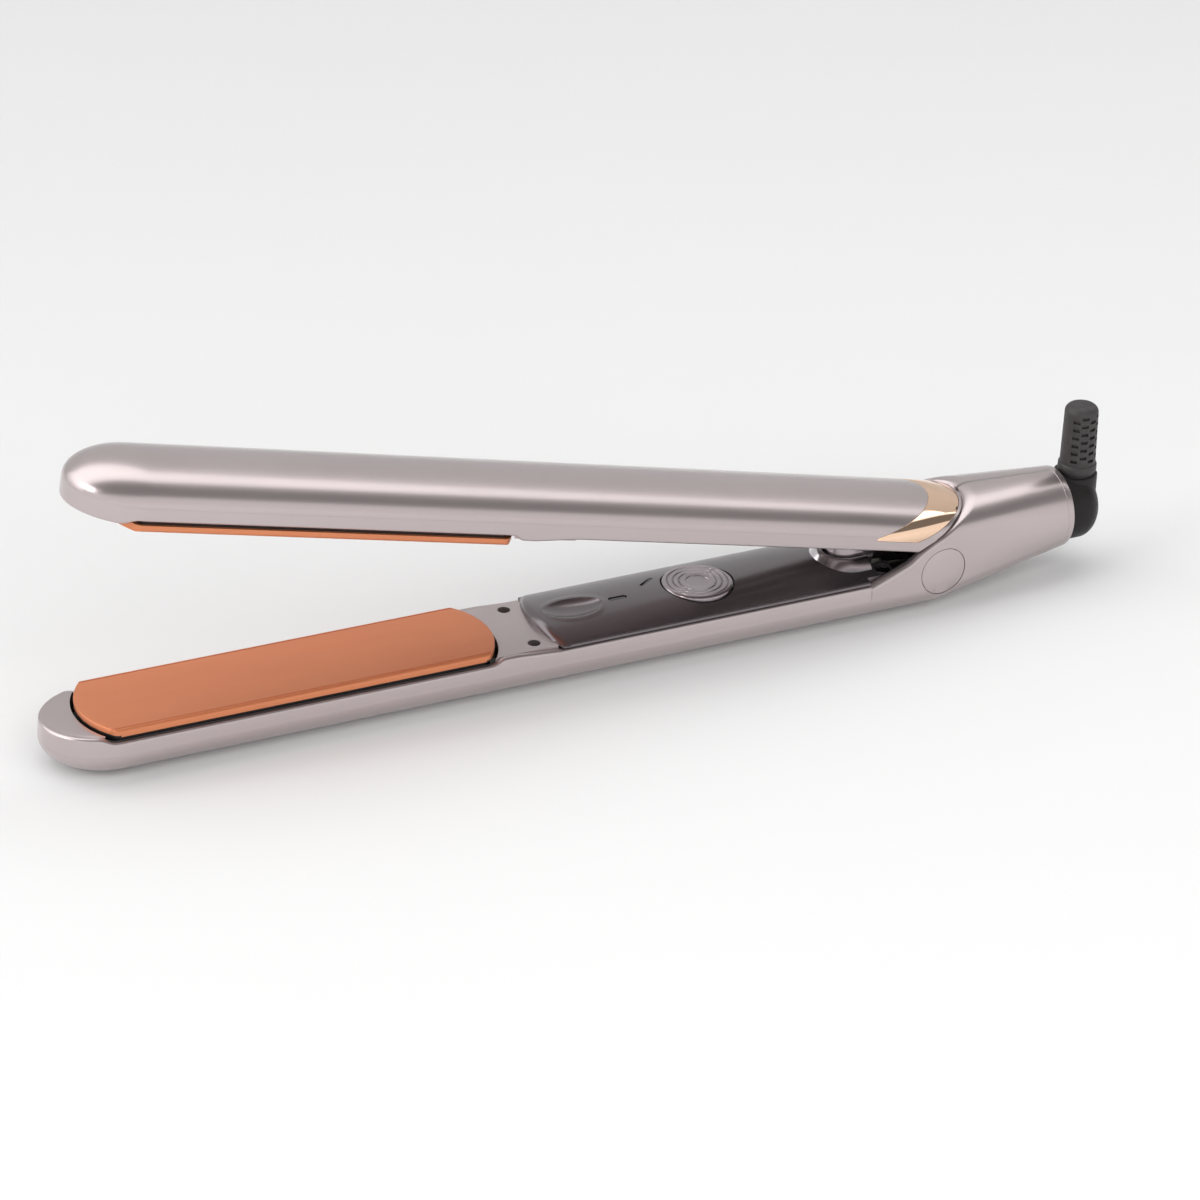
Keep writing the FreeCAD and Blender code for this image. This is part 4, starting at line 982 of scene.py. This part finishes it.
def panel():
    """Crowned panel with a rounded front, cut for the dish, button, lamps and slot."""
    columns = [0.0, 0.02, 0.08, 0.2, 0.4, 0.7, 1.05, 1.5]
    columns += [1.5 + 20.5 * k / 50 for k in range(1, 51)]
    columns += [26.0, 36.0, 50.0, 66.0, 80.0]
    rings = []
    rows = [PANEL_HALF * sin(pi / 2 * k / 30) for k in range(31)]
    rows = [-y for y in reversed(rows[1:])] + rows
    for y in rows:
        start = panel_edge(y)
        ring = [(start, y, -PANEL_BASE)]
        for step in columns:
            ring.append((start + step, y, panel_height(start + step, y)))
        ring.append((PANEL_REAR, y, panel_height(PANEL_REAR, y)))
        ring.append((PANEL_REAR, y, -PANEL_BASE))
        rings.append(ring)
    piece = piece_from("handle_panel", rings, LOWER)
    lift = 1.2
    size = DISH_DEEP + lift
    spread = 1 / sqrt(1 - (lift / size) ** 2)
    dish = []
    for k in range(1, 32):
        turn = pi * k / 32
        dish.append([(DISH_U + DISH_LENGTH * spread * sin(turn) * cos(a),
                      DISH_WIDTH * spread * sin(turn) * sin(a),
                      CROWN + lift + size * cos(turn))
                     for a in (2 * pi * j / 96 for j in range(96))])
    tools = [
        piece_from("dish", dish, LOWER),
        round_bar("button_hole", BUTTON_RADIUS + 0.4, (BUTTON_U, 0, -4), (BUTTON_U, 0, 4), LOWER,
                  160),
        upright("lamp_hole", pill_loop(*LAMP, 0.05), -4, 4, LOWER),
        upright("status_hole", pill_loop(*STATUS, 0.05), -4, 4, LOWER),
        upright("slot_hole", pill_loop(SLOT_U + 10, 0, 20 + 2 * (SLOT_RADIUS + 1.1),
                                       2 * (SLOT_RADIUS + 1.1), 0, 0, 48), -4, 4, LOWER),
    ]
    for side in (-1, 1):
        tools.append(block("corner", (HOUSING_FRONT - 0.3, min(side * 11.3, side * 20), -4),
                           (220, max(side * 11.3, side * 20), 4), LOWER))
        tools.append(round_bar("screw_hole", 1.9, (PANEL_SCREW_U, side * PANEL_SCREW_Y, -1.3),
                               (PANEL_SCREW_U, side * PANEL_SCREW_Y, 4), LOWER, 48))
    carve(piece, tools)
    return piece


finish_piece(panel(), "lower_arm", ["control_panel"], "dark_mauve", 34.0)


def lens(name, place, node):
    """Smoked light pipe with a softly domed end."""
    u, y, length, width, angle = place
    rings = []
    for inset, z in ((0.06, -4.4), (0.06, 0.28), (0.10, 0.38), (0.2, 0.46), (0.34, 0.5)):
        shift = crown(y) - CROWN
        rings.append([(p.x, p.y, z + shift if z > 0 else z)
                      for p in pill_loop(u, y, length, width, angle, -inset)])
    finish_piece(piece_from(name, rings, LOWER), "lower_arm", [node], "smoked")


lens("lamp_pipe", LAMP, "lamp_lens")
lens("status_pipe", STATUS, "status_lens")

# ---- slot collar ----

COLLAR_REAR, COLLAR_FOOT, COLLAR_CREST, COLLAR_TOP = 205.2, 8.6, 6.7, 2.1


def slot_collar():
    """Bright raised collar round the slot that the tongue dips into."""
    path = [(COLLAR_REAR, -1, None)]
    path += [(SLOT_U, 0, pi / 2 + pi * k / 72) for k in range(72, -1, -1)]
    path += [(COLLAR_REAR, 1, None)]
    slope = (COLLAR_FOOT - COLLAR_CREST) / COLLAR_TOP
    rings = []
    for u, side, turn in path:
        across = side if turn is None else sin(turn)
        forward = 0.0 if turn is None else cos(turn)
        foot = 0.0
        for _ in range(8):
            reach = COLLAR_CREST + (COLLAR_TOP - foot) * slope
            foot = crown(reach * across) - 0.06
        reach = COLLAR_CREST + (COLLAR_TOP - foot) * slope
        corners = [(SLOT_RADIUS, -PANEL_BASE), (SLOT_RADIUS, COLLAR_TOP),
                   (COLLAR_CREST, COLLAR_TOP), (reach, foot), (SLOT_RADIUS + 1.05, foot),
                   (SLOT_RADIUS + 1.05, -PANEL_BASE)]
        profile = soft_profile(corners, [0, 0.4, 0.55, 0, 0, 0], 6)
        rings.append([(u + r * forward, r * across, z) for r, z in profile])
    return piece_from("slot_collar", rings, LOWER)


finish_piece(slot_collar(), "lower_arm", ["slot_bezel"], "chrome", 40.0)

# ---- power button ----


def button():
    """Round push button with ridged rings on its face."""
    top = BUTTON_TOP
    outline = [(2.2, -3.45), (2.2, -2.9), (9.7, -2.9), (9.7, -2.2), (BUTTON_RADIUS, -2.2)]
    outline += [(BUTTON_RADIUS - away, top - drop) for away, drop in quarter_round(0.55, 6)]
    for ring in (7.0, 5.6, 4.2):
        for share in range(9):
            turn = pi * share / 8
            outline.append((ring + 0.5 - 0.5 * share / 8, top - 0.35 * sin(turn) ** 0.7))
    outline += [(3.1, top), (2.95, top - 0.05), (2.85, top - 0.2), (2.6, top - 0.25)]
    profile = [(0.0, -3.45)] + outline + [(0.0, top - 0.25)]
    return lathe("push_button", profile, LOWER, (BUTTON_U, 0, 0), "Z", 160)


finish_piece(button(), "power_button", ["power_button"], "button_mauve", 30.0)

# ---- tongue ----


def tongue():
    """Curved cover below the upper arm that dips into the slot."""
    drum, rim, wall, end = HINGE_U - SLOT_U, TONGUE_RADIUS, 1.3, 207.0
    rings = []
    for k in range(25):
        z = -8.5 + 14.5 * k / 24
        rise = z - HINGE_Z
        ring = []
        for radius, order in ((rim, range(33)), (rim - wall, range(32, -1, -1))):
            sides = []
            for j in order:
                turn = -pi / 2 + pi * j / 32
                reach = drum + radius * cos(turn)
                sides.append((HINGE_U - sqrt(reach ** 2 - rise ** 2), radius * sin(turn),
                              z))
            lead = (end, sides[0][1], z)
            tail = (end, sides[-1][1], z)
            ring += [lead] + sides + [tail]
        rings.append(ring)
    return piece_from("tongue_cover", rings, UPPER)


finish_piece(tongue(), "upper_arm", ["hinge_tongue"], "button_mauve")

# ---- swivel ----

HUB_FRONT, HUB_ROUND, HUB_REAR, HUB_RADIUS = 260.9, 265.3, 271.0, 8.8
SLEEVE_U, SLEEVE_FOOT, SLEEVE_TOP = 266.1, 4.0, 28.3
SLEEVE_WIDE, SLEEVE_SLIM = 4.55, 4.1
NECK, PASSAGE, TIP_WALL, TIP_ROUND = 5.44, 3.25, 1.9, 1.75
SADDLE_TOP = 10.4
FIRST_SLOT, SLOT_PITCH, SLOT_HIGH, SLOT_HALF = 14.2, 2.1, 0.8, 0.85


def hub():
    """Domed hub on its neck, with a saddle that the bend relief stands in."""
    outline = [(PASSAGE, 252.0), (NECK, 252.0), (NECK, HUB_FRONT), (HUB_RADIUS - 0.35, HUB_FRONT),
               (HUB_RADIUS - 0.1, HUB_FRONT + 0.1), (HUB_RADIUS, HUB_FRONT + 0.35)]
    outline += [(HUB_RADIUS, HUB_ROUND)]
    for k in range(1, 25):
        turn = pi / 2 * k / 24
        outline.append((HUB_RADIUS * cos(turn),
                        HUB_ROUND + (HUB_REAR - HUB_ROUND) * sin(turn)))
    outline[-1] = (0.0, HUB_REAR)
    outline += [(0.0, SLEEVE_U), (PASSAGE, SLEEVE_U)]
    shape = lathe("hub_body", outline, LOWER, (0, 0, SWIVEL_Z), "X", 128)
    saddle_centre = (SLEEVE_U - 0.4, 0, 0)
    rim = SLEEVE_WIDE + 0.9
    saddle = lathe("saddle", [(0.0, SWIVEL_Z), (rim, SWIVEL_Z), (rim, SADDLE_TOP - 0.4),
                              (rim - 0.12, SADDLE_TOP - 0.12), (rim - 0.4, SADDLE_TOP),
                              (0.0, SADDLE_TOP)], LOWER, saddle_centre, "Z", 96)
    carve(saddle, [block("limit", (HUB_FRONT + 0.35, -9, 0), (HUB_REAR - 0.15, 9, 12), LOWER)],
          "INTERSECT")
    carve(shape, [saddle], "UNION")
    carve(shape, [round_bar("pocket", SLEEVE_WIDE + 0.02, (SLEEVE_U, 0, SLEEVE_FOOT),
                            (SLEEVE_U, 0, 14), LOWER, 96),
                  round_bar("passage", PASSAGE, (SLEEVE_U, 0, SWIVEL_Z), (SLEEVE_U, 0, 14), LOWER,
                            64)])
    return shape


shape = hub()
shape.name = "swivel_body"
finish_piece(shape, "cord_swivel", ["swivel_hub"], "hub_black", 34.0)


def sleeve():
    """Bend relief: a slim cone with a rounded tip, a band and staggered slots."""
    slant = (SLEEVE_WIDE - SLEEVE_SLIM) / (SLEEVE_TOP - SLEEVE_FOOT)

    def skin(z):
        return SLEEVE_WIDE - slant * (z - SLEEVE_FOOT)
    outline = [(PASSAGE, SLEEVE_FOOT), (SLEEVE_WIDE, SLEEVE_FOOT), (skin(10.7), 10.7),
               (skin(10.9) + 0.24, 10.9), (skin(11.1) + 0.34, 11.1), (skin(12.8) + 0.34, 12.8),
               (skin(13.0) + 0.24, 13.0), (skin(13.15), 13.15), (skin(20.0), 20.0)]
    outline += [(skin(SLEEVE_TOP - TIP_ROUND) - away, SLEEVE_TOP - drop)
                for away, drop in quarter_round(TIP_ROUND, 12)]
    outline += [(0.0, SLEEVE_TOP), (0.0, SLEEVE_TOP - TIP_WALL), (PASSAGE, SLEEVE_TOP - TIP_WALL)]
    shape = lathe("relief_body", outline, LOWER, (SLEEVE_U, 0, 0), "Z", 128)
    slots = []
    for side in (-90, 90):
        for column, lean in enumerate((-45, -15, 15, 45)):
            turned = (LOWER @ Matrix.Translation((SLEEVE_U, 0, 0))
                      @ Matrix.Rotation(radians(side + lean), 4, "Z"))
            for step in range(6):
                z = FIRST_SLOT + SLOT_PITCH * (step + column % 2 / 2)
                slots.append(block("notch", (3.55, -SLOT_HALF, z),
                                   (5.5, SLOT_HALF, z + SLOT_HIGH), turned))
    carve(shape, [join("notches", slots)])
    return shape


shape = sleeve()
shape.name = "bend_relief"
finish_piece(shape, "cord_swivel", ["strain_relief"], "relief_black", 34.0)

# ---- screws and dots ----


def screw(name, centre, radius, foot, top, arm, sign):
    """Countersunk head with a driver cross, on its shank."""
    outline = [(0.0, foot), (0.75, foot), (0.75, top + 1.0), (radius, top + 1.0),
               (radius, top + 0.22), (radius - 0.08, top + 0.07), (radius - 0.24, top), (0.0, top)]
    u, y = centre
    shape = lathe(name, [(r, sign * z) for r, z in outline], arm, (u, y, 0), "Z", 48)
    low, high = sorted((sign * (top - 1), sign * (top + 0.5)))
    reach, half = radius * 0.72, 0.2
    carve(shape, [block("driver_slot", (u - a, y - b, low), (u + a, y + b, high), arm)
                  for a, b in ((reach, half), (half, reach))])
    return shape


for prefix, arm, sign in (("lower", LOWER, -1), ("upper", UPPER, 1)):
    pair = [screw("cover_screw", (SCREW_U, y), 1.42, 9.6, 3.05, arm, sign)
            for y in (-SCREW_Y, SCREW_Y)]
    finish_piece(join(prefix + "_deck_screws", pair), prefix + "_arm", [prefix + "_cover_screws"],
                 "dark_steel")
pair = [screw("panel_screw", (PANEL_SCREW_U, y), 1.72, 5.4, 0.5, LOWER, -1)
        for y in (-PANEL_SCREW_Y, PANEL_SCREW_Y)]
finish_piece(join("handle_panel_screws", pair), "lower_arm", ["panel_screws"],
             "dark_steel")

# ---- floor, camera and light ----

CAMERA_SIDE = radians(-25.96)
CAMERA_RISE = radians(28.52)
CAMERA_ROLL = radians(1.67)
CAMERA_FAR = 1.0
FOCAL_SHARE = 4284.43 / 1200
SENSOR = 36.0
TARGET = LOWER @ Vector((129.02, 0, 0))
SHIFT_RIGHT, SHIFT_UP = 0.00777, 0.00247


def floor():
    """Pale floor that curves up far behind the iron."""
    near, far, reach, height, radius = -3.0, 2.2, 4.0, 3.0, 1.0
    profile = [(near, 0.0), (far - radius, 0.0)]
    profile += [(far - radius + radius * sin(t), radius * (1 - cos(t)))
                for t in (pi / 2 * k / 24 for k in range(1, 25))]
    profile += [(far, height)]
    points = [(x, y, z) for x in (-reach, reach) for y, z in profile]
    count = len(profile)
    faces = [(k, k + 1, count + k + 1, count + k) for k in range(count - 1)]
    sweep = make_object("backdrop", points, faces)
    for face in sweep.data.polygons:
        face.use_smooth = True
    sweep.rotation_euler = (0, 0, CAMERA_SIDE)
    tree, shader = new_material("paper", (0.68, 0.68, 0.68), 0.0, 0.85)
    worn(tree, shader, (0.675, 0.675, 0.675), (0.685, 0.685, 0.685), 3.0, EVEN, (0.8, 0.9))
    put(shader, Specular_IOR_Level=0.1)
    sweep.data.materials.append(materials["paper"])


def photo_camera():
    """Camera at the photograph's angle, distance and framing."""
    data = bpy.data.cameras.new("camera")
    data.sensor_width = SENSOR
    data.lens = FOCAL_SHARE * SENSOR
    camera = add_object("camera", data)
    side, rise = -CAMERA_SIDE, CAMERA_RISE
    right = Vector((cos(side), -sin(side), 0))
    back = Vector((-sin(side) * cos(rise), -cos(side) * cos(rise),
                   sin(rise)))
    up = back.cross(right)
    turn = Matrix((right, up, back)).transposed() @ Matrix.Rotation(CAMERA_ROLL, 3, "Z")
    place = TARGET + turn @ Vector((SHIFT_RIGHT, SHIFT_UP, CAMERA_FAR))
    camera.matrix_world = Matrix.Translation(place) @ turn.to_4x4()
    data.clip_start, data.clip_end = 0.05, 20.0
    bpy.context.scene.camera = camera


def softbox(name, place, size, power, aim, mirrored=True):
    """Area light; it only shows in glossy surfaces if it is mirrored."""
    light = bpy.data.lights.new(name, "AREA")
    light.shape = "RECTANGLE"
    light.size, light.size_y = size
    light.energy = power
    lamp = add_object(name, light)
    lamp.location = place
    lamp.rotation_euler = (Vector(aim) - Vector(place)).to_track_quat("-Z", "Y").to_euler()
    lamp.visible_camera = False
    lamp.visible_glossy = mirrored


# Tilt in degrees from straight up, towards the back, and brightness there.
SOFTBOXES = [(-90, 0.45), (-58, 0.45), (-50, 0.09), (-6, 0.09), (2, 1.0), (50, 1.0), (66, 0.7),
             (84, 0.45), (90, 0.45)]
STUDIO_LEVEL = 2.1


def studio():
    """Long softboxes parallel to the iron, as a sky that varies with the tilt about its length."""
    world = bpy.data.worlds.new("studio")
    world.use_nodes = True
    nodes, links = world.node_tree.nodes, world.node_tree.links
    place = nodes.new("ShaderNodeTexCoord")
    split = nodes.new("ShaderNodeSeparateXYZ")
    tilt = nodes.new("ShaderNodeMath")
    tilt.operation = "ARCTAN2"
    share = nodes.new("ShaderNodeMapRange")
    put(share, From_Min=-pi / 2, From_Max=pi / 2)
    boxes = nodes.new("ShaderNodeValToRGB")
    stops = boxes.color_ramp
    while len(stops.elements) < len(SOFTBOXES):
        stops.elements.new(0.5)
    for element, (degrees, level) in zip(stops.elements, SOFTBOXES):
        element.position = degrees / 180 + 0.5
        element.color = (level, level, level, 1)
    links.new(place.outputs["Generated"], split.inputs["Vector"])
    links.new(split.outputs["Y"], tilt.inputs[0])
    links.new(split.outputs["Z"], tilt.inputs[1])
    links.new(tilt.outputs["Value"], share.inputs["Value"])
    links.new(share.outputs["Result"], boxes.inputs["Fac"])
    background = nodes["Background"]
    links.new(boxes.outputs["Color"], background.inputs["Color"])
    put(background, Strength=STUDIO_LEVEL)
    bpy.context.scene.world = world


photo_camera()
floor()
studio()
MIDDLE = (0.0, 0.0, 0.03)
softbox("side", (-1.3, -0.25, 0.75), (0.5, 0.5), 5.0, MIDDLE)
softbox("fill", (0.15, -1.5, 1.2), (2.4, 1.4), 26.0, MIDDLE, False)
bpy.context.scene.view_settings.view_transform = "Standard"
